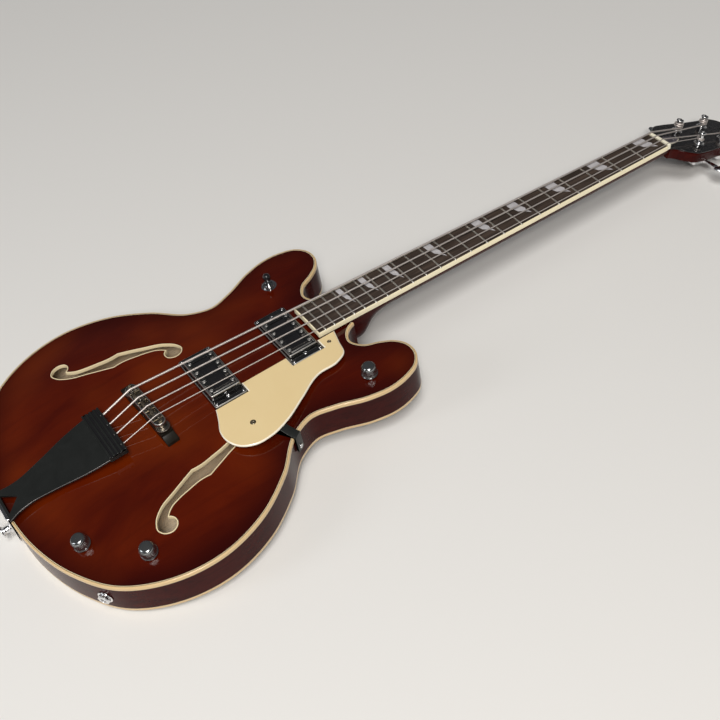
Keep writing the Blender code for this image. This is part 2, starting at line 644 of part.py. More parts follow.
# Tuners
def make_tuner(name, neck, veneer):
    x, y = (v * mm for v in POSTS[name])
    side = 1 if y > 0 else -1
    frame = empty_frame("tuner_frame_" + name, headFrame, Matrix.Translation((x, y, 0)))
    back = -VENEER - HEAD_THICKNESS - 2 * GAP
    bore = POST_RADIUS + GAP
    tube = POST_RADIUS + 1.3 * mm
    hole = solid("post_hole_" + name, turned([(0, back - 2 * mm), (tube + GAP, back - 2 * mm),
                                              (tube + GAP, 4 * mm), (0, 4 * mm)]), frame, steel, True)
    cut(neck, hole)
    cut(veneer, hole)

    length, width, depth = HOUSING
    offset = WHEEL_RADIUS + WORM_RADIUS + GAP
    low = back - depth
    middle = back - depth / 2
    case = [(a + (offset - WHEEL_RADIUS) / 2 + 1 * mm, b) for a, b in rounded(length, width, 3 * mm, 2)]
    housing = solid("tuner_housing_" + name, prism(case, low, back), frame, chrome)
    ferrule = [(0, back - 2 * mm), (tube, back - 2 * mm), (tube, GAP), (7 * mm, GAP), (7 * mm, 1.6 * mm),
               (6 * mm, 2.6 * mm), (0, 2.6 * mm)]
    fuse(housing, solid("ferrule_" + name, turned(ferrule), frame, chrome, True))
    wheelRoom = depth / 2 - 1.6 * mm
    bores = [(0, middle - wheelRoom), (WHEEL_RADIUS + GAP, middle - wheelRoom),
             (WHEEL_RADIUS + GAP, middle + wheelRoom), (bore, middle + wheelRoom), (bore, 4 * mm), (0, 4 * mm)]
    cut(housing, solid("post_bore_" + name, turned(bores), frame, chrome, True))
    sideways = Matrix.Translation((offset, 0, middle)) @ Matrix.Rotation(-side * pi / 2, 4, "X")
    wormBore = [(0, -8.5 * mm), (WORM_RADIUS + GAP, -8.5 * mm), (WORM_RADIUS + GAP, 14 * mm), (0, 14 * mm)]
    cut(housing, solid("worm_bore_" + name, turned(wormBore), frame, chrome, True, sideways))

    wheel = wheelRoom - GAP
    flare = POST_RADIUS + 1.3 * mm
    post = [(0, middle - wheel), (WHEEL_RADIUS, middle - wheel), (WHEEL_RADIUS, middle + wheel),
            (POST_RADIUS, middle + wheel), (POST_RADIUS, POST_HEIGHT - 3.2 * mm),
            (flare, POST_HEIGHT - 2.2 * mm), (flare, POST_HEIGHT - 0.6 * mm),
            (flare - 0.8 * mm, POST_HEIGHT), (0, POST_HEIGHT)]
    shaft = solid("tuner_post_" + name, turned(post), frame, chrome)
    slot = box(-8 * mm, 8 * mm, -1.3 * mm, 1.3 * mm, POST_HEIGHT - 4 * mm, POST_HEIGHT + 2 * mm)
    cut(shaft, solid("post_slot_" + name, slot, frame, chrome, True))

    reach = KEY_REACH
    stem = 2.4 * mm
    collar = width / 2 + GAP
    key = [(0, -8 * mm), (WORM_RADIUS, -8 * mm), (WORM_RADIUS, 8 * mm), (stem, 8.6 * mm), (stem, collar),
           (4 * mm, collar), (4 * mm, collar + 2 * mm), (stem, collar + 2 * mm), (stem, reach + 3 * mm),
           (0, reach + 3 * mm)]
    knob = solid("tuner_key_" + name, turned(key, 12), frame, chrome, at=sideways)
    blade = []
    for i in range(18):
        turn = 2 * pi * i / 18
        lobe = 0.5 * KEY_LENGTH * (0.9 - 0.1 * cos(3 * turn))
        blade.append((lobe * 0.95 * sin(turn), reach + KEY_LENGTH / 2 - lobe * cos(turn)))
    fuse(knob, solid("key_blade_" + name, prism(blade, -KEY_THICKNESS / 2, KEY_THICKNESS / 2, "y"),
                     frame, chrome, True, sideways))


# Strings: from the tailpiece over the saddle and the nut, and round the post
def saddle_place(name):
    """Crest of a saddle in the body's frame, just under its string."""
    y = string_side(name, SPREAD_AT_BRIDGE)
    x = bridgeStation - y * tan(BRIDGE_SLANT) + SADDLE_SETTING[name]
    station = on_neck(x, HEIGHT_AT_BRIDGE)
    under = neckMatrix @ Vector((station, y, HEIGHT_AT_BRIDGE + crown(y)))
    return Vector((x, y, under.z - GAP))


def winding(name):
    """Points in the headstock's frame: where the string meets its post, and its turns up the post."""
    x, y = (v * mm for v in POSTS[name])
    side = 1 if y > 0 else -1
    r = STRING_RADII[name]
    radius = POST_RADIUS + r + GAP
    start = headMatrix.inverted() @ neckMatrix @ Vector((NUT_LENGTH, string_side(name, SPREAD_AT_NUT), 0))
    reach = hypot(x - start.x, y - start.y)
    heading = atan2(y - start.y, x - start.x) - side * asin(radius / reach)
    first = heading - side * pi / 2
    pitch = 2 * r + WINDING_CLEARANCE
    points = []
    for i in range(WINDING_TURNS * WINDING_STEPS + 1):
        turn = first + side * 2 * pi * i / WINDING_STEPS
        points.append(Vector((x + radius * cos(turn), y + radius * sin(turn),
                              WINDING_BASE + r + pitch * i / WINDING_STEPS)))
    last = first + side * 2 * pi * WINDING_TURNS
    tangent = Vector((-sin(last), cos(last), 0)) * side
    points.append(points[-1] + 2 * r * tangent + Vector((0, 0, pitch * r / (pi * radius))))
    return points


def check_winding(name, points):
    """Least gap between a winding's turns, and between them and the post."""
    r = STRING_RADII[name]
    gap = min((a - b).length - 2 * r for i, a in enumerate(points) for b in points[i + WINDING_STEPS // 2:])
    print("string", name, "least gap between its turns: %.2f mm" % (gap / mm))


def make_string(name):
    r = STRING_RADII[name]
    saddle = saddle_place(name) + Vector((0, 0, GAP + r))
    anchorX = bridgeStation - BRIDGE_TO_TAILPIECE
    anchor = Vector((anchorX - 5 * mm, string_side(name, SPREAD_AT_BRIDGE), BLOCK_HEIGHT - ANCHOR_DEPTH))
    y = string_side(name, SPREAD_AT_NUT)
    nutLevel = HEIGHT_AT_NUT + crown(y) + r
    nut = [neckMatrix @ Vector((x, y, nutLevel)) for x in (GAP, NUT_LENGTH)]
    turns = winding(name)
    check_winding(name, turns)
    points = [anchor, anchor + Vector((6 * mm, 0, 0.3 * mm)), saddle, *nut, *[headMatrix @ p for p in turns]]
    curve = bpy.data.curves.new("string_" + name, "CURVE")
    curve.dimensions = "3D"
    curve.bevel_depth = r
    curve.bevel_resolution = 1
    curve.use_fill_caps = True
    curve.resolution_u = 1
    curve.render_resolution_u = 0
    spline = curve.splines.new("POLY")
    spline.points.add(len(points) - 1)
    for point, place_ in zip(spline.points, points):
        point.co = (*place_, 1)
    curve.materials.append(wound)
    place(bpy.data.objects.new("string_" + name, curve), body, False)
    return anchor


# Bridge and tailpiece
def make_bridge():
    matrix = Matrix.Translation((bridgeStation, 0, bridgeTop)) @ Matrix.Rotation(BRIDGE_SLANT, 4, "Z")
    frame = empty_frame("bridge_frame", body, matrix)
    depth, length, height = BRIDGE_BASE
    end, shoulder, foot = length / 2, length / 2 - 11 * mm, 24 * mm
    profile = [(end, GAP), (end, 4.5 * mm), (shoulder + 1 * mm, 6 * mm), (shoulder, height)]
    profile += [(-a, b) for a, b in reversed(profile)]
    profile += [(-foot, GAP), (-foot + 4 * mm, 3 * mm), (foot - 4 * mm, 3 * mm), (foot, GAP)]
    base = solid("bridge_base", prism(profile, -depth / 2, depth / 2, "x"), frame, ebony)
    wide, long, high = BRIDGE_BAR
    barTop = BAR_LIFT + high
    plate = rounded(wide, long, wide / 2 - 0.2 * mm, 4)
    bar = solid("bridge_bar", prism(plate, BAR_LIFT, barTop), frame, nickel)
    thickness, width = SADDLE
    trayWide, trayDeep = BAR_TRAY
    trayLong = SPREAD_AT_BRIDGE + width + 4 * GAP
    cut(bar, solid("bar_tray", box(-trayWide / 2, trayWide / 2, -trayLong / 2, trayLong / 2,
                                   barTop - trayDeep, barTop + 2 * mm), frame, nickel, True))
    radius, thick = THUMBWHEEL
    for name, side in (("bass", 1), ("treble", -1)):
        at = Matrix.Translation((0, side * BRIDGE_POST_SPACING / 2, 0))
        room = STUD_RADIUS + GAP
        hole = [(0, 2 * mm), (room, 2 * mm), (room, barTop + 2 * mm), (0, barTop + 2 * mm)]
        bore = solid("stud_hole_" + name, turned(hole), frame, nickel, True, at)
        cut(base, bore)
        cut(bar, bore)
        low = BAR_LIFT - GAP - thick
        stud = [(0, 4 * mm), (STUD_RADIUS, 4 * mm), (STUD_RADIUS, low), (radius, low), (radius, low + thick),
                (STUD_RADIUS, low + thick), (STUD_RADIUS, barTop - 0.5 * mm), (0, barTop - 0.5 * mm)]
        solid("bridge_wheel_" + name, turned(stud, 16), frame, nickel, at=at)
    for name in "eadg":
        crest = matrix.inverted() @ saddle_place(name)
        floor = barTop - trayDeep + GAP
        half = thickness / 2
        lip = 0.5 * mm
        outline = [(-half, floor), (half, floor), (half, crest.z - 1.6 * mm), (lip, crest.z),
                   (-lip, crest.z), (-half, crest.z - 1.6 * mm)]
        solid("saddle_" + name, prism(outline, -width / 2, width / 2, "y"), frame, nickel,
              at=Matrix.Translation((crest.x, crest.y, 0)))


def make_tailpiece(anchors):
    long, wide, thick = TAILPIECE_BLOCK
    front = bridgeStation - BRIDGE_TO_TAILPIECE
    rear = front - long
    tilt = atan2(BLOCK_HEIGHT - thick + 1 * mm - TAIL_HEIGHT, rear)
    plate = tilt_matrix(0, TAIL_HEIGHT, tilt)
    waist, waistHalf = TAILPIECE_WAIST
    tailHalf = TAILPIECE_TAIL_HALF_WIDTH
    side = smooth_curve([(1 * mm, tailHalf), (12 * mm, 20 * mm), (waist, waistHalf), (waist + 28 * mm, 22 * mm),
                         (rear - 25 * mm, 32 * mm), (rear + 2 * mm, wide / 2 - 1 * mm)], 3)
    outline = side + [(x, -y) for x, y in reversed(side)]
    frame = empty_frame("tailpiece_frame", body, plate)
    piece = solid("tailpiece", prism(outline, 0, TAILPIECE_THICKNESS), frame, black)
    gap = [(5 * mm, 12.5 * mm), (5 * mm, -12.5 * mm), (18 * mm, 0)]
    cut(piece, solid("tailpiece_window", prism(gap, -5 * mm, 8 * mm), frame, black, True))
    top = BLOCK_HEIGHT
    rib = long / (2 * RIB_COUNT - 1)
    profile = [(rear, top - thick)]
    for i in range(RIB_COUNT):
        x = rear + 2 * i * rib
        profile += [(x, top), (x + rib, top)]
        if i < RIB_COUNT - 1:
            profile += [(x + rib, top - 1.4 * mm), (x + 2 * rib, top - 1.4 * mm)]
    profile.append((front, top - thick))
    block = solid("tailpiece_block", prism(profile, -wide / 2, wide / 2, "y"), body, black, True)
    fuse(piece, block)
    for name, anchor in anchors.items():
        turn = Matrix.Translation(anchor - Vector((1 * mm, 0, 0))) @ Matrix.Rotation(pi / 2, 4, "Y")
        radius = STRING_RADII[name] + GAP
        bore = [(0, 0), (radius, 0), (radius, 10 * mm), (0, 10 * mm)]
        cut(piece, solid("string_hole_" + name, turned(bore, 10), body, black, True, turn))


def tilt_matrix(x, z, angle):
    return Matrix.Translation((x, 0, z)) @ Matrix.Rotation(-angle, 4, "Y")


def make_tail_bracket():
    """Angle plate on the tail end that carries the tailpiece and the strap button."""
    half, thick = 18 * mm, 1.8 * mm
    outside = -2 * GAP - thick
    shelf = TAIL_HEIGHT - GAP
    foot = 8 * mm - BODY_DEPTH
    profile = [(outside, foot), (outside + thick, foot), (outside + thick, shelf - thick),
               (8 * mm, shelf - thick), (8 * mm, shelf), (outside, shelf)]
    bracket = solid("tail_bracket", prism(profile, -half, half, "y"), body, chrome)
    for k, (y, z) in enumerate([(12 * mm, -0.25 * BODY_DEPTH), (-12 * mm, -0.25 * BODY_DEPTH),
                                (0, -0.25 * BODY_DEPTH)]):
        at = Matrix.Translation((outside, y, z)) @ Matrix.Rotation(-pi / 2, 4, "Y")
        head = [(0, -0.5 * mm), (3.2 * mm, -0.5 * mm), (3.2 * mm, 0.6 * mm), (2 * mm, 1.6 * mm), (0, 1.6 * mm)]
        fuse(bracket, solid(f"bracket_screw_{k}", turned(head, 12), body, chrome, True, at))
    return outside


def strap_button(name, matrix):
    """Waisted button standing on a face, with its flat head outwards."""
    profile = [(0, GAP), (6.5 * mm, GAP), (6.5 * mm, 1.4 * mm), (4 * mm, 3.5 * mm), (4 * mm, 8 * mm),
               (7.2 * mm, 10.5 * mm), (7.2 * mm, 12 * mm), (0, 12 * mm)]
    solid(name, turned(profile, 14), body, chrome, at=matrix)


# Pickups, controls and jack
def make_pickup(name, station, top, block):
    """Ring screwed to the top, and the pickup that hangs in it on two height screws."""
    deep, wide, tall = PICKUP
    ringDeep, ringWide, ringTall = RING
    corner = max(top_at(station + a * ringDeep / 2, 0) for a in (-1, 0, 1))
    flat = tilt_matrix(station, corner + GAP, -PICKUP_PITCH)
    frame = empty_frame("pickup_frame_" + name, body, flat)
    lift = ringDeep / 2 * tan(PICKUP_PITCH)
    room = PICKUP_ROUTE_CLEARANCE
    routeDeep = deep + 2 * room
    outside = rounded(ringDeep, ringWide, 2.5 * mm, 2)

    def under(x, y):
        """Underside of the ring: it follows the arched top."""
        points = [flat @ Vector((a, b, 0)) for a, b in zip(x, y)]
        heights = top_height(np.array([p.x for p in points]), np.array([p.y for p in points]))
        return np.array([h - p.z + GAP for h, p in zip(heights, points)])

    ringTop = lift + ringTall
    ring = solid("pickup_ring_" + name, slab(outside, level(ringTop), under, CELL), frame, nickel)
    opening = rounded(deep + 2 * GAP + 0.4 * mm, wide + 2 * GAP + 0.4 * mm, 1.5 * mm, 2)
    cut(ring, solid("ring_opening_" + name, prism(opening, -10 * mm, 20 * mm), frame, nickel, True))
    route = box(-routeDeep / 2, routeDeep / 2, -EAR_SPAN / 2 - room, EAR_SPAN / 2 + room,
                -tall - PICKUP_TRAVEL, 1 * mm)
    cut(top, solid("route_" + name, route, frame, maple, True))
    cut(block, solid("block_route_" + name, route, frame, maple, True))

    crest = ringTop + PICKUP_PROUD[name]
    floor = crest - tall
    pickup = solid("pickup_" + name, prism(rounded(deep, wide, 2 * mm, 2), floor, crest), frame, nickel)
    ears = prism(rounded(12 * mm, EAR_SPAN, 4 * mm, 2), floor - 0.5 * mm, floor + 1 * mm)
    fuse(pickup, solid("pickup_ears_" + name, ears, frame, steel, True))
    window = box(-deep / 2 + 9 * mm, deep / 2 - 9 * mm, -wide / 2 + 9 * mm, wide / 2 - 9 * mm,
                 crest - 1.5 * mm, crest + 1 * mm)
    cut(pickup, solid("pickup_window_" + name, window, frame, nickel, True))
    for k in range(4):
        for row in (-1, 1):
            at = Matrix.Translation((row * 13.6 * mm, (k - 1.5) * POLE_SPACING, crest))
            pole = [(0, -1 * mm), (2.3 * mm, -1 * mm), (2.3 * mm, 0.7 * mm), (0, 0.7 * mm)]
            fuse(pickup, solid(f"pole_{name}_{k}_{row}", turned(pole, 8), frame, chrome, True, at))
    hang = (wide / 2 + EAR_SPAN / 2) / 2
    cornerInset = 3.4 * mm
    tip = floor - PICKUP_TRAVEL - 1.5 * mm
    for side in (-1, 1):
        at = Matrix.Translation((0, side * hang, 0))
        hole = HEIGHT_SCREW_RADIUS + GAP
        clear = [(0, floor - 2 * mm), (hole, floor - 2 * mm), (hole, floor + 3 * mm), (0, floor + 3 * mm)]
        cut(pickup, solid(f"ear_hole_{name}_{side}", turned(clear, 10), frame, steel, True, at))
        screw = [(0, tip), (HEIGHT_SCREW_RADIUS, tip),
                 (HEIGHT_SCREW_RADIUS, ringTop - 0.5 * mm), (2.4 * mm, ringTop - 0.5 * mm),
                 (2.4 * mm, ringTop + 0.9 * mm), (0, ringTop + 0.9 * mm)]
        fuse(ring, solid(f"height_screw_{name}_{side}", turned(screw, 10), frame, chrome, True, at))
        for end in (-1, 1):
            at = Matrix.Translation((end * (ringDeep / 2 - cornerInset), side * (ringWide / 2 - cornerInset),
                                     ringTop))
            head = [(0, -0.5 * mm), (1.9 * mm, -0.5 * mm), (1.9 * mm, 0.7 * mm), (0, 0.7 * mm)]
            fuse(ring, solid(f"ring_screw_{name}_{side}_{end}", turned(head, 8), frame, chrome, True, at))


def make_knob(name, top):
    """Control: the pot hangs under the top by its bush, and the knob turns on its shaft."""
    frame = empty_frame("knob_frame_" + name, body, top_matrix(*plan(*KNOBS[name])))
    hole = BUSH_RADIUS + 2 * GAP
    bore = [(0, -12 * mm), (hole, -12 * mm), (hole, 6 * mm), (0, 6 * mm)]
    cut(top, solid("knob_hole_" + name, turned(bore), frame, walnut, True))
    canTop = -PLATE - 3 * GAP
    washer = 0.5 * mm
    room = SHAFT_RADIUS + GAP
    canFloor = canTop - POT_DEPTH
    nut = 6.6 * mm
    nutTop = washer + 1.8 * mm
    pot = [(room, canFloor), (0.9 * POT_RADIUS, canFloor), (POT_RADIUS, canFloor + 2 * mm), (POT_RADIUS, canTop),
           (BUSH_RADIUS, canTop), (BUSH_RADIUS, washer), (nut, washer), (nut, nutTop), (BUSH_RADIUS, nutTop),
           (BUSH_RADIUS, 4 * mm), (room, 4 * mm)]
    solid("pot_" + name, turned(pot), frame, steel)
    skirt, inside = 1.2 * mm, KNOB_RADIUS - 1.8 * mm
    edge = KNOB_HEIGHT + skirt
    shaftEnd = canFloor + 2 * mm
    knob = [(0, shaftEnd), (SHAFT_RADIUS, shaftEnd), (SHAFT_RADIUS, 5 * mm), (inside, 5 * mm), (inside, skirt),
            (KNOB_RADIUS, skirt), (0.97 * KNOB_RADIUS, edge - 3 * mm),
            (0.88 * KNOB_RADIUS, edge - 1 * mm), (0.6 * KNOB_RADIUS, edge), (0, edge + 0.5 * mm)]
    solid("knob_" + name, turned(knob, 16), frame, nickel)


def make_switch(top):
    """Three-way pickup switch: its body hangs under the top, and the lever rocks in the bush."""
    frame = empty_frame("switch_frame", body, top_matrix(*plan(*SWITCH)))
    bush = 6 * mm
    hole = [(0, -12 * mm), (bush + 2 * GAP, -12 * mm), (bush + 2 * GAP, 6 * mm), (0, 6 * mm)]
    cut(top, solid("switch_hole", turned(hole), frame, walnut, True))
    canTop = -PLATE - 3 * GAP
    washer = 0.5 * mm
    floor = canTop - 16 * mm
    shell = [(0, floor), (9 * mm, floor), (9 * mm, canTop), (bush, canTop), (bush, washer),
             (SWITCH_NUT_RADIUS, washer), (SWITCH_NUT_RADIUS, washer + 1.6 * mm),
             (SWITCH_NUT_RADIUS - 1 * mm, washer + 2.6 * mm), (4.4 * mm, washer + 2.6 * mm), (4.4 * mm, canTop),
             (7 * mm, canTop - 2 * mm), (7 * mm, floor + 2 * mm), (0, floor + 2 * mm)]
    solid("switch_body", turned(shell, 14), frame, chrome)
    ball = 4.4 * mm - GAP - STEP_IN
    swell = [(ball * cos(t), ball * sin(t)) for t in np.linspace(-1.1, 1.1, 6)]
    lever = [(0, -9 * mm), (1.8 * mm, -9 * mm), *swell, (1.4 * mm, 9 * mm), (2.6 * mm, 9.6 * mm),
             (3.4 * mm, 15 * mm), (3.2 * mm, 18.5 * mm), (1.8 * mm, 20 * mm), (0, 20.3 * mm)]
    pivot = Matrix.Translation((0, 0, -LEVER_PIVOT))
    solid("switch_lever", turned(lever, 10), frame, black, at=pivot)


def edge_matrix(station, depth):
    """A frame on the treble rim, Y up and Z outwards, where the outline first comes to a station."""
    tail = (len(fineEdge) - len(neckFace)) // 2
    index = tail + int(np.argmax(fineEdge[tail:, 0] >= station))
    a, b = fineEdge[index - 1], fineEdge[index + 1]
    out = Vector((b[1] - a[1], a[0] - b[0], 0)).normalized()
    along = Vector((0, 0, 1)).cross(out)
    turn = Matrix((along, Vector((0, 0, 1)), out)).transposed().to_4x4()
    return Matrix.Translation((fineEdge[index][0], fineEdge[index][1], depth)) @ turn


def make_jack(rim):
    frame = empty_frame("jack_frame", body, edge_matrix(JACK_STATION * lengthFactor, -BODY_DEPTH / 2))
    hole = JACK_RADIUS + 2 * GAP
    bore = [(0, -RIM_WALL - 6 * mm), (hole, -RIM_WALL - 6 * mm), (hole, 6 * mm), (0, 6 * mm)]
    cut(rim, solid("jack_hole", turned(bore), frame, cherry, True))
    behind = -RIM_WALL - 3 * GAP
    can = 7.5 * mm
    socket = [(0, -24 * mm), (can, -24 * mm), (can, behind), (JACK_RADIUS, behind),
              (JACK_RADIUS, 0.8 * mm), (10 * mm, 0.8 * mm), (10 * mm, 1.8 * mm), (7.5 * mm, 2.4 * mm),
              (7.5 * mm, 4.4 * mm), (5 * mm, 5 * mm), (JACK_BORE, 5 * mm), (JACK_BORE, -22 * mm), (0, -22 * mm)]
    solid("output_jack", turned(socket, 14), frame, chrome)


# Pickguard
def guard_height(x):
    share = (x - GUARD_STATIONS[0]) / (GUARD_STATIONS[1] - GUARD_STATIONS[0])
    return GUARD_HEIGHT[0] + (GUARD_HEIGHT[1] - GUARD_HEIGHT[0]) * share


def make_pickguard():
    """Floating guard, cut out round both pickup rings, on a screw at the neck and a bracket at the waist."""
    ringDeep, ringWide = RING[0] / 2 + 2.5 * GAP, RING[1] / 2 + 2.5 * GAP
    inner = 30.5 * mm
    neckPickup = boardEnd - NECK_PICKUP_TO_BOARD
    bridgePickup = bridgeStation + BRIDGE_PICKUP_TO_BRIDGE
    curve = smooth_curve([(boardEnd + 18 * mm, -inner)] + [plan(x, y) for x, y in GUARD_EDGE]
                         + [(bridgePickup - ringDeep, -ringWide - 1 * mm)], 2)
    notches = [(bridgePickup - ringDeep, -ringWide), (bridgePickup + ringDeep, -ringWide),
               (bridgePickup + ringDeep, -inner), (neckPickup - ringDeep, -inner),
               (neckPickup - ringDeep, -ringWide), (neckPickup + ringDeep, -ringWide),
               (neckPickup + ringDeep, -inner)]
    outline = curve[:-1] + notches
    verts, faces = prism(outline, 0, 1)
    verts = [(x, y, guard_height(x) - (1 - z) * GUARD_THICKNESS) for x, y, z in verts]
    guard = solid("pickguard", (verts, faces), body, cream)
    for k, (x, y) in enumerate(plan(*p) for p in GUARD_SCREWS):
        top = guard_height(x)
        foot = top_at(x, y) + CURVED_GAP
        at = Matrix.Translation((x, y, 0))
        screw = [(0, foot), (2.2 * mm, foot), (2.2 * mm, top - 0.5 * mm), (2.9 * mm, top - 0.5 * mm),
                 (2.9 * mm, top + 0.4 * mm), (2 * mm, top + 0.9 * mm), (0, top + 0.9 * mm)]
        fuse(guard, solid(f"guard_screw_{k}", turned(screw, 12), body, nickel, True, at))


def make_guard_bracket():
    """Bent strip from under the guard, over the binding and down the rim to its screw."""
    width, thick, reach, drop = BRACKET
    frameMatrix = edge_matrix(BRACKET_STATION * lengthFactor, 0)
    frame = empty_frame("bracket_frame", body, frameMatrix)
    inEnd = frameMatrix @ Vector((0, 0, -reach))
    high = guard_height(inEnd.x + width / 2) - GUARD_THICKNESS - 2 * GAP - thick
    out = BRACKET_STANDOFF
    lip = 1.5 * mm
    path = [(-reach, high), (-0.45 * reach, high), (-3 * mm, lip), (out, lip - 1 * mm), (out, -drop)]
    outside = [(-reach, high + thick), (-0.45 * reach + 0.5 * mm, high + thick), (-2.4 * mm, lip + thick),
               (out + thick, lip - 1 * mm + thick), (out + thick, -drop)]
    profile = path + outside[::-1]
    verts, faces = prism(profile, -width / 2, width / 2, "z")
    verts = [(c, b, a) for a, b, c in verts]
    bracket = solid("pickguard_bracket", (verts, faces), frame, black)
    head = [(0, CURVED_GAP), (1.5 * mm, CURVED_GAP), (1.5 * mm, out + 0.5 * mm), (3 * mm, out + 0.5 * mm),
            (3 * mm, out + thick + 0.6 * mm), (2 * mm, out + thick + 1.4 * mm), (0, out + thick + 1.4 * mm)]
    at = Matrix.Translation((0, -drop + 6 * mm, 0))
    fuse(bracket, solid("bracket_head", turned(head, 12), frame, chrome, True, at))


def lay_down():
    """Turns the bass about Y until it lies on its back and its headstock, over the origin."""
    bpy.context.view_layer.update()
    graph = bpy.context.evaluated_depsgraph_get()
    clouds = []
    for thing in bpy.data.objects:
        if thing.type in {"MESH", "CURVE"} and not thing.hide_render:
            shown = thing.evaluated_get(graph)
            mesh = shown.to_mesh()
            flat = np.empty(3 * len(mesh.vertices), np.float32)
            mesh.vertices.foreach_get("co", flat)
            world = np.array(shown.matrix_world)
            clouds.append(flat.reshape(-1, 3) @ world[:3, :3].T + world[:3, 3])
            shown.to_mesh_clear()
    cloud = np.vstack(clouds)
    hull = []
    for x, z in sorted((x, z) for x, _, z in cloud.tolist()):
        while len(hull) > 1 and ((hull[-1][0] - hull[-2][0]) * (z - hull[-2][1])
                                 <= (hull[-1][1] - hull[-2][1]) * (x - hull[-2][0])):
            hull.pop()
        hull.append((x, z))
    spans = [(b[0] - a[0], atan2(b[1] - a[1], b[0] - a[0])) for a, b in zip(hull, hull[1:])]
    lying = Matrix.Rotation(max(spans)[1], 4, "Y")
    laid = cloud @ np.array(lying)[:3, :3].T
    low, high = laid.min(0), laid.max(0)
    centre = Vector(((low[0] + high[0]) / 2, (low[1] + high[1]) / 2, low[2]))
    body.matrix_local = Matrix.Translation(-centre) @ lying


rimPiece, topPiece, blockPiece = make_shell()
make_f_holes(topPiece)
neckPiece, veneerPiece = make_neck(topPiece, blockPiece, rimPiece)
make_fingerboard()
make_nut()
for stringName in "eadg":
    make_tuner(stringName, neckPiece, veneerPiece)
anchorPlaces = {stringName: make_string(stringName) for stringName in "eadg"}
make_bridge()
make_tailpiece(anchorPlaces)
bracketFace = make_tail_bracket()
strap_button("strap_button_tail", Matrix.Translation((bracketFace, 0, -0.62 * BODY_DEPTH))
             @ Matrix.Rotation(-pi / 2, 4, "Y"))
heelLevel = -BOARD_THICKNESS - GAP - HEEL_DEPTH
heelFoot = neckMatrix @ Vector((on_neck(neckJoint + HEEL_LENGTH / 2 + GAP, heelLevel), 0, heelLevel))
strap_button("strap_button_heel", Matrix.Translation(heelFoot) @ Matrix.Rotation(NECK_ANGLE + pi, 4, "Y"))
make_pickup("neck", boardEnd - NECK_PICKUP_TO_BOARD, topPiece, blockPiece)
make_pickup("bridge", bridgeStation + BRIDGE_PICKUP_TO_BRIDGE, topPiece, blockPiece)
for knobName in KNOBS:
    make_knob(knobName, topPiece)
make_switch(topPiece)
make_jack(rimPiece)
make_pickguard()
make_guard_bracket()
lay_down()
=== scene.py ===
# Semi-hollow electric bass guitar with two cutaways, lying on a pale floor.
# Shapes are worked out in millimetres in the body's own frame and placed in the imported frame.
import json
from math import asin, atan2, cos, hypot, pi, radians, sin, tan
import bmesh
import bpy
import numpy as np
from mathutils import Matrix, Vector
from mathutils.geometry import delaunay_2d_cdt
from numpy.linalg import inv


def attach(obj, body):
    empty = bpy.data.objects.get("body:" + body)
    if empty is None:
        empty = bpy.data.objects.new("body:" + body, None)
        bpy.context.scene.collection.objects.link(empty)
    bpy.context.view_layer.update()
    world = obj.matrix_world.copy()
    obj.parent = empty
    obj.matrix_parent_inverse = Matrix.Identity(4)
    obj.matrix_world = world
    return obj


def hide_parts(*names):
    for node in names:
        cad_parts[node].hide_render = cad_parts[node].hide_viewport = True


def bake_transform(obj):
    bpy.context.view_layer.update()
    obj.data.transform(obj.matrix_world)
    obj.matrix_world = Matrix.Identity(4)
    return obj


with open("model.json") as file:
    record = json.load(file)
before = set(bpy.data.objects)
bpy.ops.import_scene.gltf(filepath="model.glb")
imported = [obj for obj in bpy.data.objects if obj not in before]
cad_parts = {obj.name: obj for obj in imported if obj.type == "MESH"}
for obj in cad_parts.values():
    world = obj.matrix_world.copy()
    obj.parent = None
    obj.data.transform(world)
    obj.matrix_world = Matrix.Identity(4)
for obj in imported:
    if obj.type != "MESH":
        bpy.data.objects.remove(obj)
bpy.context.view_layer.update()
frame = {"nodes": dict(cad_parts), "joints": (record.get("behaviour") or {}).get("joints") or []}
scene = bpy.context.scene
nodes = frame["nodes"]
print("frame loaded:", len(nodes), "nodes")


# Places
def shift(x, y, z):
    return np.array(Matrix.Translation((x, y, z)))


def turn(axis, angle):
    return np.array(Matrix.Rotation(angle, 4, axis))


def placed(points, matrix):
    return np.asarray(points, float) @ matrix[:3, :3].T + matrix[:3, 3]


def flatNumbers(owner, key, width, kind=np.float32):
    # one property of all of a mesh's elements, a row each
    numbers = np.empty(len(owner) * width, kind)
    owner.foreach_get(key, numbers)
    return numbers.reshape(-1, width) if width > 1 else numbers


def bodyFrame():
    # upwards is the way the bridge's bar rises, forwards is square to it, and the front binding gives the origin
    up = np.array(next(j["axis"] for j in frame["joints"] if j["name"] == "bar_height"))
    forward = np.cross((0, 1, 0), up)
    binding = flatNumbers(nodes["front_binding"].data.vertices, "co", 3)
    made = np.eye(4)
    made[:3, :3] = np.array([forward, (0, 1, 0), up]).T * 0.001
    made[:3, 3] = forward * (binding @ forward).min() + up * (binding @ up).max()
    return made


bodyToRow = bodyFrame()
here = np.eye(4)
lengthways = np.array([[0, 0, 1, 0], [1, 0, 0, 0], [0, 1, 0, 0], [0, 0, 0, 1.0]])    # (y, z) carried along x
sideways = np.array([[1, 0, 0, 0], [0, 0, 1, 0], [0, 1, 0, 0], [0, 0, 0, 1.0]])      # (x, z) carried along y
acrossRim = np.array([[0, 0, 1, 0], [0, 1, 0, 0], [1, 0, 0, 0], [0, 0, 0, 1.0]])     # (z, y) carried along x


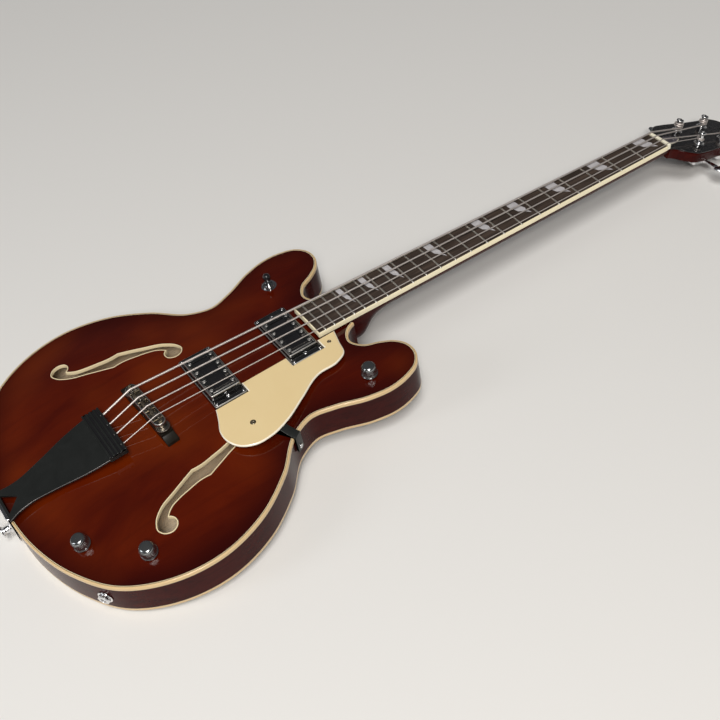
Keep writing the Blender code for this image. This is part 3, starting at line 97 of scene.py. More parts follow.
# Lines
def smoothLine(points, steps):
    # between two points: the cubic whose ends run along the mean of the neighbouring chords
    p = np.array(points, float)
    chord = np.linalg.norm(np.diff(p, axis=0), axis=1)[:, None]
    slope = np.diff(p, axis=0) / chord
    middle = (slope[:-1] * chord[1:] + slope[1:] * chord[:-1]) / (chord[1:] + chord[:-1])
    tangent = np.vstack([2 * slope[:1] - middle[:1], middle, 2 * slope[-1:] - middle[-1:]])
    t = (np.arange(steps) / steps)[:, None, None]
    line = (p[:-1] * (2 * t**3 - 3 * t**2 + 1) + p[1:] * (3 * t**2 - 2 * t**3)
            + chord * tangent[:-1] * (t**3 - 2 * t**2 + t) + chord * tangent[1:] * (t**3 - t**2))
    return np.vstack([line.transpose(1, 0, 2).reshape(-1, p.shape[1]), p[-1:]])


def leftOf(line, distance, closed=True):
    # each point moves square to the line, further where two stretches meet at an angle
    p = np.asarray(line, float)
    ahead, behind = np.roll(p, -1, 0), np.roll(p, 1, 0)
    if not closed:
        ahead[-1], behind[0] = 2 * p[-1] - p[-2], 2 * p[0] - p[1]
    before, after = p - behind, ahead - p
    before, after = (d / np.maximum(np.hypot(*d.T), 1e-9)[:, None] for d in (before, after))
    first, second = (np.stack([-d[:, 1], d[:, 0]], 1) for d in (before, after))
    middle = first + second
    return p + distance * middle / np.maximum((middle * first).sum(1), 0.8)[:, None]


def anticlockwise(line):
    p = np.asarray(line, float)
    q = np.roll(p, -1, 0)
    return p if (p[:, 0] * q[:, 1] - q[:, 0] * p[:, 1]).sum() > 0 else p[::-1]


def mirrored(line):
    # a line that ends on the middle, and its reflection back again
    p = np.asarray(line, float)
    return np.vstack([p, p[-2::-1] * (1, -1)])


def eased(points, radius, steps=3, closed=False):
    # every corner becomes a curve that starts and ends a radius away from it, or half a side where that is less
    p = np.asarray(points, float)
    ahead, behind = np.roll(p, -1, 0) - p, np.roll(p, 1, 0) - p
    far, near = np.hypot(*ahead.T)[:, None], np.hypot(*behind.T)[:, None]
    a = p + behind * np.minimum(radius / np.maximum(near, 1e-9), 0.5)
    b = p + ahead * np.minimum(radius / np.maximum(far, 1e-9), 0.5)
    t = np.linspace(0, 1, steps + 1)[:, None, None]
    curve = ((1 - t)**2 * a + 2 * t * (1 - t) * p + t**2 * b).transpose(1, 0, 2)
    if closed:
        return curve.reshape(-1, 2)
    return np.vstack([p[:1], curve[1:-1].reshape(-1, 2), p[-1:]])


def circle(x, y, radius, count=32):
    angle = np.arange(count) * 2 * pi / count
    return np.stack([x + radius * np.cos(angle), y + radius * np.sin(angle)], 1)


def rounded(width, height, radius, steps=6):
    corner = np.arange(4 * (steps + 1)) // (steps + 1)
    angle = pi / 2 * (corner + np.tile(np.arange(steps + 1) / steps, 4))
    sx, sy = np.array([1, -1, -1, 1])[corner], np.array([1, 1, -1, -1])[corner]
    return np.stack([sx * (width / 2 - radius) + radius * np.cos(angle),
                     sy * (height / 2 - radius) + radius * np.sin(angle)], 1)


# Shapes: points, the faces' corners one after another, the faces' sizes and looks
def closedShape(points, loops, sizes, look=0):
    # the faces are turned round where the volume, summed over their corner fans, comes out below zero
    points = np.asarray(points, float).reshape(-1, 3)
    loops, sizes = np.asarray(loops), np.asarray(sizes)
    start = np.repeat(np.cumsum(sizes) - sizes, sizes)
    count = np.repeat(sizes, sizes)
    step = np.arange(len(loops)) - start
    a, b, c = points[loops[start]], points[loops], points[loops[start + (step + 1) % count]]
    if np.einsum("ij,ij->", a, np.cross(b, c)) < 0:
        loops = loops[start + count - 1 - step]
    return {"points": points, "loops": loops, "sizes": sizes, "look": np.broadcast_to(look, len(sizes))}


def gridShape(points, closeRows=False, caps=True, look=0):
    # a grid of points whose columns close into rings; the first and last ring are filled
    rows, columns = points.shape[:2]
    index = np.arange(rows * columns).reshape(rows, columns)
    if closeRows:
        index = np.vstack([index, index[:1]])
    around = np.hstack([index, index[:, :1]])
    quads = np.stack([around[:-1, :-1], around[:-1, 1:], around[1:, 1:], around[1:, :-1]], -1)
    loops, sizes = quads.reshape(-1), np.full(quads.shape[0] * quads.shape[1], 4)
    looks = np.broadcast_to(look, len(sizes)) if np.ndim(look) == 0 else np.repeat(look, columns)
    if caps and not closeRows:
        loops = np.concatenate([loops, index[0][::-1], index[-1]])
        sizes = np.append(sizes, (columns, columns))
        looks = np.append(looks, (looks[0], looks[-1]))
    return closedShape(points, loops, sizes, looks)


def movedShape(shape, *matrices):
    points = shape["points"]
    for matrix in reversed(matrices):
        points = placed(points, matrix)
    return closedShape(points, shape["loops"], shape["sizes"], shape["look"])


def turnedShape(profile, sides=40, look=0, soft=(), knurl=None):
    # a profile of (radius, height) carried round Z; soft is for its corners: how far a curve reaches, and its steps;
    # knurl is (count, depth, from height, to height)
    p = np.asarray(profile, float)
    if soft:
        p = eased(p, *soft, closed=p[0, 0] > 0)
    angle = np.arange(sides) * 2 * pi / sides
    radius = np.repeat(p[:, :1], sides, 1)
    if knurl:
        number, depth, low, high = knurl
        milled = (p[:, 1:] > low) & (p[:, 1:] < high) & (p[:, :1] > 0.8 * p[:, 0].max())
        radius = radius - milled * depth * (0.5 + 0.5 * np.cos(number * angle))
    points = np.stack([radius * np.cos(angle), radius * np.sin(angle), np.repeat(p[:, 1:], sides, 1)], -1)
    return gridShape(points, closeRows=p[0, 0] > 0, caps=False, look=look)


def rodShape(radius, low, high, sides=32, look=0, soft=(), hole=0):
    # a rod on Z, or a tube where it has a hole
    return turnedShape([(hole, low), (radius, low), (radius, high), (hole, high)], sides, look, soft)


def plateShape(outline, low, high, bevel=0.3, steps=3, look=0, edgeLook=None):
    # a plan outline carried upwards with its edges rounded by a quarter circle
    line = anticlockwise(outline)
    arc = np.linspace(0, pi / 2, steps + 1)
    inwards = np.concatenate([[bevel + 0.15], bevel * (1 - np.sin(arc)), bevel * (1 - np.cos(arc)), [bevel + 0.15]])
    height = np.concatenate([[low], low + bevel * (1 - np.cos(arc)), high - bevel * (1 - np.sin(arc)), [high]])
    rings = np.stack([leftOf(line, d) for d in inwards])
    points = np.dstack([rings, np.broadcast_to(height[:, None], rings.shape[:2])])
    looks = np.full(len(height) - 1, look)
    if edgeLook is not None:
        looks[steps + 1:-1] = edgeLook
        looks = np.where(np.arange(len(looks)) == steps + 1, look, looks)
    return gridShape(points, look=looks)


def boxShape(x0, x1, y0, y1, z0, z1, bevel=0.3, look=0):
    return plateShape([(x0, y0), (x1, y0), (x1, y1), (x0, y1)], z0, z1, bevel, look=look)


def loftedShape(rows, closeRows=False, look=0):
    # round-cornered rectangles of (length, width, corner radius, height) joined in order
    rings = np.stack([np.insert(rounded(*plan), 2, height, axis=1) for *plan, height in rows])
    return gridShape(rings, closeRows=closeRows, look=look)


def bandShape(line, profile, height, closed, look=0):
    # a profile of (distance to the left, height) carried along a plan line, over a height function
    rings = np.stack([leftOf(line, d, closed) for d, _ in profile], 1)
    level = height(rings[..., 0].ravel(), rings[..., 1].ravel()).reshape(rings.shape[:2])
    points = np.dstack([rings, level + np.array([z for _, z in profile])])
    return gridShape(points, closeRows=closed, look=look)


def sweptShape(path, profile, up=(0, 0, 1), look=0):
    # a flat profile of (sideways, upwards) carried along a path in space, square to it
    p = np.asarray(path, float)
    along = np.gradient(p, axis=0)
    along /= np.linalg.norm(along, axis=1)[:, None]
    side = np.cross(up, along)
    side /= np.linalg.norm(side, axis=1)[:, None]
    rise = np.cross(along, side)
    q = np.asarray(profile, float)
    points = p[:, None] + q[None, :, :1] * side[:, None] + q[None, :, 1:] * rise[:, None]
    return gridShape(points, look=look)


# Pieces
weldGap = 2e-7      # metres


def joined(shapes):
    ends = np.cumsum([0] + [len(s["points"]) for s in shapes])
    return (np.vstack([s["points"] for s in shapes]),
            np.concatenate([s["loops"] + start for s, start in zip(shapes, ends)]),
            np.concatenate([s["sizes"] for s in shapes]), np.concatenate([s["look"] for s in shapes]))


def meshOf(name, shapes, at):
    points, loops, sizes, look = joined(shapes)
    mesh = bpy.data.meshes.new(name)
    mesh.vertices.add(len(points))
    mesh.vertices.foreach_set("co", placed(placed(points, at), bodyToRow).astype(np.float32).ravel())
    mesh.loops.add(len(loops))
    mesh.loops.foreach_set("vertex_index", loops.astype(np.int32))
    mesh.polygons.add(len(sizes))
    mesh.polygons.foreach_set("loop_start", (np.cumsum(sizes) - sizes).astype(np.int32))
    mesh.polygons.foreach_set("material_index", look.astype(np.int32))
    mesh.update(calc_edges=True)
    return mesh


def weld(mesh, slivers=True):
    work = bmesh.new()
    work.from_mesh(mesh)
    bmesh.ops.remove_doubles(work, verts=work.verts[:], dist=weldGap)
    if slivers:
        bmesh.ops.dissolve_degenerate(work, edges=work.edges[:], dist=weldGap / 2)
    work.to_mesh(mesh)
    work.free()


def makePiece(name, shapes, looks, rides="root", node=None, at=here, carve=(), merge=True, sharp=34):
    # a piece that has a node's name, or says which, replaces that node; sharp is the crease angle in degrees
    mesh = meshOf(name, shapes, at)
    if merge:
        weld(mesh)
    for look in looks:
        mesh.materials.append(materials[look])
    piece = bpy.data.objects.new(name, mesh)
    scene.collection.objects.link(piece)
    if carve:
        carved(piece, carve, at)
    piece.data.shade_smooth()
    piece.data.set_sharp_from_angle(angle=radians(sharp))
    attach(piece, rides)
    if node or name in nodes:
        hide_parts(node or name)
    return piece


def carved(piece, shapes, at):
    # the shapes are taken out of the piece
    tool = bpy.data.objects.new("tool", meshOf("tool", shapes, at))
    scene.collection.objects.link(tool)
    weld(tool.data, slivers=False)
    step = piece.modifiers.new("carve", "BOOLEAN")
    step.operation, step.object, step.solver = "DIFFERENCE", tool, "EXACT"
    bpy.context.view_layer.update()
    cut = bpy.data.meshes.new_from_object(piece.evaluated_get(bpy.context.evaluated_depsgraph_get()))
    piece.modifiers.clear()
    piece.data = cut
    bpy.data.objects.remove(tool, do_unlink=True)


def dressed(node, look):
    # a node that stays gets a finish
    nodes[node].data.materials.clear()
    nodes[node].data.materials.append(materials[look])


# Materials
materials = {}


def makeGroup(name, inputs, outputs, build):
    group = bpy.data.node_groups.new(name, "ShaderNodeTree")
    for way, sockets in (("INPUT", inputs), ("OUTPUT", outputs)):
        for label, kind in sockets.items():
            group.interface.new_socket(label, in_out=way, socket_type="NodeSocket" + kind)
    given, result = group.nodes.new("NodeGroupInput").outputs, group.nodes.new("NodeGroupOutput").inputs
    for label, output in build(group, given).items():
        group.links.new(output, result[label])
    return group


def addNode(tree, kind, values):
    # a value is an output to link, a setting of the node, or a constant on one of its sockets
    made = tree.nodes.new(kind)
    for key, value in values.items():
        if isinstance(value, bpy.types.NodeSocket):
            tree.links.new(value, made.inputs[key])
        elif isinstance(key, str) and hasattr(made, key):
            setattr(made, key, value)
        else:
            made.inputs[key].default_value = (*value, 1) if made.inputs[key].type == "RGBA" else value
    return made


def maths(tree, operation, *values):
    return addNode(tree, "ShaderNodeMath", {"operation": operation, **dict(enumerate(values))}).outputs[0]


def stretched(tree, place, factors):
    return addNode(tree, "ShaderNodeVectorMath", {"operation": "MULTIPLY", 0: place, 1: factors}).outputs[0]


def noise(tree, place, scale, detail, roughness=0.5, distortion=0.0):
    return addNode(tree, "ShaderNodeTexNoise", {"Vector": place, "Scale": scale, "Detail": detail,
                                                "Roughness": roughness, "Distortion": distortion}).outputs["Fac"]


def ranged(tree, value, low, high, most=1.0, smooth=False):
    # nought up to low, and most from high on
    return addNode(tree, "ShaderNodeMapRange", {
        "interpolation_type": "SMOOTHSTEP" if smooth else "LINEAR", "Value": value, "From Min": low,
        "From Max": high, "To Max": most}).outputs["Result"]


def mixed(tree, share, first, second):
    # two colours, each a plain one or an output
    return addNode(tree, "ShaderNodeMix", {"data_type": "RGBA", "Factor": share, 6: first, 7: second}).outputs[2]


def objectPlace(tree):
    return tree.nodes.new("ShaderNodeTexCoord").outputs["Object"]


# noises as (scale, detail, roughness, distortion), and what part of a noise counts as (from, to)
grain = {"bands": (1.0, 5.0, 0.6, 1.2), "bandRange": (0.32, 0.68), "pores": (1.0, 3.0, 0.55), "poreRange": (0.30, 0.48),
         "poreStretch": (0.35, 9, 9)}
use = {"smears": (4.0, 0.6, 0.6), "finer": 14.0, "specks": (2.0,), "speckShare": 0.35, "middle": 0.62,
       "roughest": 0.95, "smoothest": 0.02}


def buildFigure(group, given):
    # wood: long soft bands, drawn out along the grain, with fine dark pores over them
    drawn = stretched(group, objectPlace(group), given["Stretch"])
    bands = ranged(group, noise(group, drawn, *grain["bands"]), *grain["bandRange"])
    fine = stretched(group, drawn, grain["poreStretch"])
    clear = ranged(group, noise(group, fine, *grain["pores"]), *grain["poreRange"])
    pores = maths(group, "MULTIPLY", maths(group, "SUBTRACT", 1.0, clear), given["Pores"])
    tone = mixed(group, bands, given["Dark"], given["Light"])
    return {"Colour": mixed(group, pores, tone, given["Pore Colour"]), "Height": clear}


def buildHandling(group, given):
    # use: broad smears and fine specks that change the roughness, and a faint unevenness
    place = objectPlace(group)
    smear = noise(group, place, given["Scale"], *use["smears"])
    speck = noise(group, place, maths(group, "MULTIPLY", given["Scale"], use["finer"]), *use["specks"])
    both = maths(group, "MULTIPLY_ADD", speck, use["speckShare"], smear)
    centred = maths(group, "SUBTRACT", both, use["middle"])
    rough = maths(group, "MULTIPLY_ADD", centred, given["Amount"], given["Roughness"])
    kept = addNode(group, "ShaderNodeClamp", {"Value": rough, "Min": use["smoothest"], "Max": use["roughest"]})
    return {"Roughness": kept.outputs[0], "Mask": smear, "Specks": speck}


figure = makeGroup("woodFigure", {"Stretch": "Vector", "Dark": "Color", "Light": "Color", "Pore Colour": "Color",
                                  "Pores": "Float"}, {"Colour": "Color", "Height": "Float"}, buildFigure)
handling = makeGroup("handling", dict.fromkeys(("Scale", "Roughness", "Amount"), "Float"),
                     dict.fromkeys(("Roughness", "Mask", "Specks"), "Float"), buildHandling)


def startLook(name, fixed, scale, rough, amount):
    # a material with its constants, whose roughness comes from the handling
    material = materials[name] = bpy.data.materials.new(name)
    material.use_nodes = True
    tree = material.node_tree
    shader = tree.nodes["Principled BSDF"].inputs
    for key, value in fixed.items():
        shader[key].default_value = value
    used = addNode(tree, "ShaderNodeGroup", {"node_tree": handling, "Scale": scale, "Roughness": rough,
                                             "Amount": amount}).outputs
    tree.links.new(used["Roughness"], shader["Roughness"])
    return tree, shader, used


def endLook(tree, shader, colour, height, strength, distance=0.0001):
    tree.links.new(colour, shader["Base Color"])
    bump = addNode(tree, "ShaderNodeBump", {"Strength": strength, "Distance": distance, "Height": height})
    tree.links.new(bump.outputs["Normal"], shader["Normal"])


# grain under varnish; coat and under are the shine of the varnish and of what lies below it
varnish = {"coatRough": 0.03, "under": 0.4, "smearScale": 18.0, "smear": 0.12, "grainDepth": 0.0002}
# the burst: warm clouds, a wavering line, and the distance from the edge (m) where the dark rim starts to give way
burst = {"clouds": (7.0, 2.0), "cloudRange": (0.44, 0.74, 0.65), "waver": 0.05, "rim": 0.012}


def woodLook(name, wood):
    fixed = {"Coat Weight": wood["coat"], "Coat Roughness": varnish["coatRough"],
             "Specular IOR Level": wood.get("under", varnish["under"])}
    tree, shader, _ = startLook(name, fixed, varnish["smearScale"], wood["rough"], varnish["smear"])
    made = addNode(tree, "ShaderNodeGroup", {
        "node_tree": figure, "Stretch": wood["stretch"], "Dark": wood["dark"], "Light": wood["light"],
        "Pore Colour": wood["pore"], "Pores": wood["pores"]}).outputs
    colour = made["Colour"]
    if "burst" in wood:
        edge = addNode(tree, "ShaderNodeAttribute", {"attribute_name": "edgeGap"}).outputs["Fac"]
        cloud = noise(tree, objectPlace(tree), *burst["clouds"])
        warm = ranged(tree, cloud, *burst["cloudRange"], smooth=True)
        gap = maths(tree, "MULTIPLY_ADD", cloud, burst["waver"], edge)
        share = ranged(tree, gap, burst["rim"], wood["reach"], smooth=True)
        colour = mixed(tree, share, wood["burst"], mixed(tree, warm, colour, wood["glow"]))
    endLook(tree, shader, colour, made["Height"], wood["bump"], varnish["grainDepth"])


woods = {
    "walnut_gloss": {"dark": (0.056, 0.0032, 0.0004), "light": (0.098, 0.0085, 0.0006), "pore": (0.032, 0.0012, 0.0004),
                     "pores": 0.25, "stretch": (5, 12, 12), "coat": 1.0, "rough": 0.34, "bump": 0.02, "under": 0.0,
                     "burst": (0.026, 0.0010, 0.0004), "reach": 0.070, "glow": (0.155, 0.0215, 0.0014)},
    "cherry_gloss": {"dark": (0.026, 0.0012, 0.0008), "light": (0.050, 0.0032, 0.0016), "pore": (0.014, 0.0008, 0.0006),
                     "pores": 0.5, "stretch": (5, 40, 40), "coat": 0.06, "rough": 0.22, "bump": 0.02, "under": 0.08},
    "bare_maple": {"dark": (0.72, 0.55, 0.36), "light": (0.88, 0.73, 0.53), "pore": (0.42, 0.29, 0.17),
                   "pores": 0.45, "stretch": (5, 60, 60), "coat": 0.0, "rough": 0.62, "bump": 0.25},
    "rosewood": {"dark": (0.030, 0.021, 0.016), "light": (0.075, 0.052, 0.040), "pore": (0.014, 0.010, 0.008),
                 "pores": 0.9, "stretch": (14, 130, 130), "coat": 0.0, "rough": 0.46, "bump": 0.4},
    "dark_wood": {"dark": (0.009, 0.007, 0.005), "light": (0.018, 0.015, 0.011), "pore": (0.004, 0.003, 0.003),
                  "pores": 0.8, "stretch": (60, 9, 60), "coat": 0.0, "rough": 0.36, "bump": 0.3, "under": 0.2},
}
for lookName, values in woods.items():
    woodLook(lookName, values)


def plainLook(name, plain):
    # two near tones in soft smears, on plastic or metal; wraps are a string's windings, along its length
    fixed = {"Metallic": plain["metallic"], "Specular IOR Level": plain["under"], "Coat Weight": plain["coat"],
             "Coat Roughness": plain["coatRough"]}
    tree, shader, used = startLook(name, fixed, plain["scale"], plain["rough"], plain["wear"])
    height = used["Specks"]
    if "wraps" in plain:
        along = addNode(tree, "ShaderNodeUVMap", {"uv_map": "along"}).outputs["UV"]
        height = addNode(tree, "ShaderNodeTexWave", {"wave_type": "BANDS", "bands_direction": "X",
                                                     "Scale": plain["wraps"], "Vector": along}).outputs["Fac"]
    endLook(tree, shader, mixed(tree, used["Mask"], *plain["tones"]), height, plain["bump"])


plastic = {"metallic": 0.0, "under": 0.5, "coatRough": 0.08, "wear": 0.16, "bump": 0.06}
metal = {"metallic": 1.0, "under": 0.5, "coat": 0.0, "coatRough": 0.03, "bump": 0.03}
plastics = {
    "cream_plastic": {"tones": ((0.84, 0.69, 0.42), (0.90, 0.77, 0.51)), "scale": 30.0, "rough": 0.30, "coat": 0.3},
    # the fingerboard's binding: a lighter copy of the cream, painted light
    "litBoardCream": {"tones": ((0.88, 0.78, 0.53), (0.93, 0.85, 0.62)), "scale": 30.0, "rough": 0.30, "coat": 0.3},
    # the body's bindings: a darker, yellowed copy of the cream; the darkness is painted shade
    "shadedAgedCream": {"tones": ((0.62, 0.43, 0.21), (0.72, 0.53, 0.29)), "scale": 26.0, "rough": 0.32, "coat": 0.3},
    "guardCream": {"tones": ((0.78, 0.60, 0.315), (0.82, 0.65, 0.36)), "scale": 22.0, "rough": 0.42, "coat": 0.1},
    "guardEdge": {"tones": ((0.90, 0.82, 0.66), (0.93, 0.87, 0.74)), "scale": 60.0, "rough": 0.30, "coat": 0.2},
    "nut_bone": {"tones": ((0.88, 0.82, 0.62), (0.93, 0.89, 0.74)), "scale": 160.0, "rough": 0.35, "coat": 0.2},
    "darkLine": {"tones": ((0.010, 0.006, 0.005), (0.020, 0.010, 0.008)), "scale": 80.0, "rough": 0.3, "coat": 0.6},
    "pearl": {"tones": ((0.36, 0.35, 0.37), (0.66, 0.64, 0.65)), "scale": 170.0, "rough": 0.22, "coat": 0.6},
    "blackPlastic": {"tones": ((0.008, 0.008, 0.009), (0.016, 0.015, 0.017)), "scale": 60.0, "rough": 0.22,
                     "coat": 0.4},
    "veneer": {"tones": ((0.006, 0.005, 0.006), (0.010, 0.008, 0.009)), "scale": 25.0, "rough": 0.25,
               "coat": 0.8, "under": 0.1},
    "coverPlastic": {"tones": ((0.055, 0.045, 0.062), (0.080, 0.068, 0.088)), "scale": 90.0, "rough": 0.3,
                     "coat": 0.5},
}
metals = {
    "dark_nickel": {"tones": ((0.20, 0.20, 0.20), (0.30, 0.30, 0.295)), "scale": 45.0, "rough": 0.17, "wear": 0.16},
    "knobNickel": {"tones": ((0.28, 0.30, 0.30), (0.40, 0.41, 0.42)), "scale": 50.0, "rough": 0.15,
                   "wear": 0.12, "metallic": 0.94},
    "chrome": {"tones": ((0.70, 0.70, 0.71), (0.82, 0.82, 0.83)), "scale": 60.0, "rough": 0.09, "wear": 0.12},
    "wound_steel": {"tones": ((0.60, 0.54, 0.51), (0.72, 0.66, 0.62)), "scale": 40.0, "rough": 0.44,
                    "wear": 0.1, "wraps": 560.0, "metallic": 0.7, "bump": 0.35},
    "black_metal": {"tones": ((0.020, 0.022, 0.021), (0.032, 0.034, 0.033)), "scale": 40.0, "rough": 0.38,
                    "wear": 0.2, "metallic": 0.5, "bump": 0.08},
    # a lighter black metal on the tailpiece's bevels: painted edge highlights
    "blackEdgeHighlight": {"tones": ((0.07, 0.065, 0.065), (0.15, 0.14, 0.14)), "scale": 60.0, "rough": 0.36,
                  "wear": 0.2, "metallic": 0.8},
    "steel": {"tones": ((0.42, 0.42, 0.41), (0.56, 0.56, 0.55)), "scale": 80.0, "rough": 0.30, "wear": 0.2},
    "fretMetal": {"tones": ((0.74, 0.71, 0.64), (0.84, 0.81, 0.74)), "scale": 120.0, "rough": 0.42, "wear": 0.1},
    # a lighter satin metal: the pole heads' own finish, and painted edge highlights on bevels and raised lines
    "satinEdgeHighlight": {"tones": ((0.46, 0.45, 0.43), (0.60, 0.59, 0.57)), "scale": 90.0, "rough": 0.40, "wear": 0.15},
    "agedBrass": {"tones": ((0.20, 0.165, 0.11), (0.32, 0.27, 0.19)), "scale": 150.0, "rough": 0.32, "wear": 0.25},
    "barNickel": {"tones": ((0.24, 0.22, 0.19), (0.38, 0.35, 0.31)), "scale": 90.0, "rough": 0.28, "wear": 0.2},
}
for kind, looks in ((plastic, plastics), (metal, metals)):
    for lookName, values in looks.items():
        plainLook(lookName, {**kind, **values})
print("materials made:", len(materials))


# Body plan, as in the frame: stations from the tail end, heights from the front edge
bodyPlan = {
    "depth": 45, "plate": 4.5, "wall": 6, "arch": 11, "archAtNeck": 3, "backArch": 6.85,
    "archRun": 55, "fade": (200, 400), "cell": 5.0, "purfling": (2.0, 2.45, 3.0, 3.45), "gridInset": 7.5,
    "pocketHalf": 50, "gap": 0.3, "switchHole": 6.6, "knobHole": 5.0, "jackHole": 6.6, "pickupGap": 2,
    # half of the outline from the neck to the tail, then a sound hole's stem and lobe from its own centre
    "half": [(441, 29), (428, 36.5), (422, 49), (430, 64.5), (447, 73.5), (461, 83.5), (469.5, 98), (469, 115),
             (459, 129.5), (439, 138.2), (418, 140.6), (390, 135.5), (352, 120), (325, 113.7), (301, 122.5),
             (262, 160.5), (215, 191), (160, 204.5), (104.5, 196), (56, 167.5), (25.5, 122.5), (6.5, 67), (0, 0)],
    "holeCentre": (191.5, 106),
    "holeStem": [(6.5, 10), (-6, 9.5), (-20, 12), (-34, 15), (-46, 19.5), (-53, 25.5)],
    "holeLobe": [(-53, 25.5), (-48.5, 32), (-50, 40), (-58, 44.5), (-67, 42), (-72, 34), (-68.5, 23), (-58, 12.5),
                 (-34, 1.5), (-6.5, -10)],
    # the rounded edges of the rim's binding and of a sound hole's, as (distance from the outside, height)
    "bindingRound": [(0, -1.5), (0.1, -0.95), (0.4, -0.45), (0.85, -0.12), (1.3, 0.0), (1.45, 0.0), (2.0, 0.0)],
    "holeRound": [(0.45, 0.0), (0.55, 0.08), (0.8, 0.12), (1.1, 0.10), (1.4, 0.02), (1.5, -0.2)],
    # the dark line under the binding: its outer and inner side, and its top and bottom below the plate
    "line": (0.02, 1.0, 0.2, 0.7),
}
wholeEdge = mirrored(bodyPlan["half"])
edgeLine = smoothLine(wholeEdge, 16)
neckJoint = bodyPlan["half"][0][0]
neckFace = np.stack([np.full(22, neckJoint), np.linspace(edgeLine[-1, 1], edgeLine[0, 1], 24)[1:-1]], 1)
edgeRing = np.vstack([edgeLine, neckFace])
edgeStep = np.hypot(*(np.roll(edgeRing, -1, 0) - edgeRing).T)


def inParts(measure, x, y, size=3000):
    # a measure that compares every point with the whole edge is taken a few thousand points at a time
    x, y = np.ravel(x), np.ravel(y)
    return np.concatenate([measure(x[i:i + size], y[i:i + size]) for i in range(0, len(x), size)])


def archMeasure(x, y):
    # the sixth-power mean of the distances to the edge
    square = (x[:, None] - edgeRing[:, 0])**2 + (y[:, None] - edgeRing[:, 1])**2
    return ((edgeStep / np.maximum(square, 1e-2)**3).sum(1) / (3 * pi / 8))**-0.2


def edgeMeasure(x, y):
    # the shortest distance to the edge's stretches
    a, d = edgeLine[:-1], np.diff(edgeLine, axis=0)
    px, py = x[:, None] - a[:, 0], y[:, None] - a[:, 1]
    t = np.clip((px * d[:, 0] + py * d[:, 1]) / (d**2).sum(1), 0, 1)
    return np.sqrt(((px - t * d[:, 0])**2 + (py - t * d[:, 1])**2).min(1))


def rise(x, y):
    return 1 - np.exp(-(inParts(archMeasure, x, y) / bodyPlan["archRun"])**2)


def topHeight(x, y):
    x = np.ravel(x)
    low, high = bodyPlan["fade"]
    share = np.clip((x - low) / (high - low), 0, 1)
    lower = share**2 * (3 - 2 * share)
    return (bodyPlan["arch"] + (bodyPlan["archAtNeck"] - bodyPlan["arch"]) * lower) * rise(x, y)


def backHeight(x, y):
    return -bodyPlan["depth"] - bodyPlan["backArch"] * rise(x, y)


def topAt(x, y):
    return float(topHeight([x], [y])[0])


def topFrame(x, y):
    # a frame standing on the top, square to it
    up = Vector((topAt(x - 2, y) - topAt(x + 2, y), topAt(x, y - 2) - topAt(x, y + 2), 4)).normalized()
    turned = Vector((0, 0, 1)).rotation_difference(up).to_matrix().to_4x4()
    return shift(x, y, topAt(x, y)) @ np.array(turned)


def isInside(points, ring):
    # a point is inside where a line from it crosses the ring an odd number of times
    a, b = ring, np.roll(ring, -1, 0)
    slope = (b[:, 0] - a[:, 0]) / np.where(b[:, 1] == a[:, 1], 1e-9, b[:, 1] - a[:, 1])

    def measure(x, y):
        over = (a[:, 1] > y[:, None]) != (b[:, 1] > y[:, None])
        return (over & (x[:, None] < a[:, 0] + slope * (y[:, None] - a[:, 1]))).sum(1) % 2
    return inParts(measure, points[:, 0], points[:, 1]) == 1


def filledPlan(outer, holes, lines, cell, clear):
    # triangles between the outer ring and the holes, through the extra lines and a grid of points
    low, high = outer.min(0), outer.max(0)
    gx, gy = np.meshgrid(np.arange(low[0], high[0], cell), np.arange(low[1], high[1], cell * 0.866))
    gx = gx + (np.arange(len(gx)) % 2)[:, None] * cell / 2
    spots = np.stack([gx.ravel(), gy.ravel()], 1)
    spots = spots[isInside(spots, clear)]
    for ring in holes:
        spots = spots[~isInside(spots, leftOf(anticlockwise(ring), -0.3 * cell))]
    rings = [outer, *lines, *holes]
    points = np.vstack(rings + [spots])
    ends = np.cumsum([0] + [len(ring) for ring in rings])
    edges = [(start + i, start + (i + 1) % size) for start, size in zip(ends, map(len, rings)) for i in range(size)]
    made = delaunay_2d_cdt([Vector(p) for p in points], edges, [], 0, 1e-4)
    verts = np.array([tuple(v) for v in made[0]])
    triangles = np.array(made[2])
    middle = verts[triangles].mean(1)
    keep = isInside(middle, outer)
    for ring in holes:
        keep &= ~isInside(middle, ring)
    return verts, triangles[keep], middle[keep]


def filledShape(verts, triangles, upper, lower, look, sideLook, underLook):
    # the same triangles at two heights, with walls where a side belongs to one triangle only
    count = len(verts)
    sides = np.vstack([triangles[:, [0, 1]], triangles[:, [1, 2]], triangles[:, [2, 0]]])
    _, first, number = np.unique(np.sort(sides, 1) @ (count, 1), return_index=True, return_counts=True)
    rim = sides[first[number == 1]]
    walls = np.column_stack([rim[:, ::-1], rim + count])
    points = np.vstack([np.column_stack([verts, upper]), np.column_stack([verts, lower])])
    loops = np.concatenate([triangles.ravel(), (triangles[:, ::-1] + count).ravel(), walls.ravel()])
    sizes = np.repeat([3, 3, 4], [len(triangles), len(triangles), len(walls)])
    looks = np.concatenate([look, np.full(len(triangles), underLook), np.full(len(walls), sideLook)])
    return closedShape(points, loops, sizes, looks)


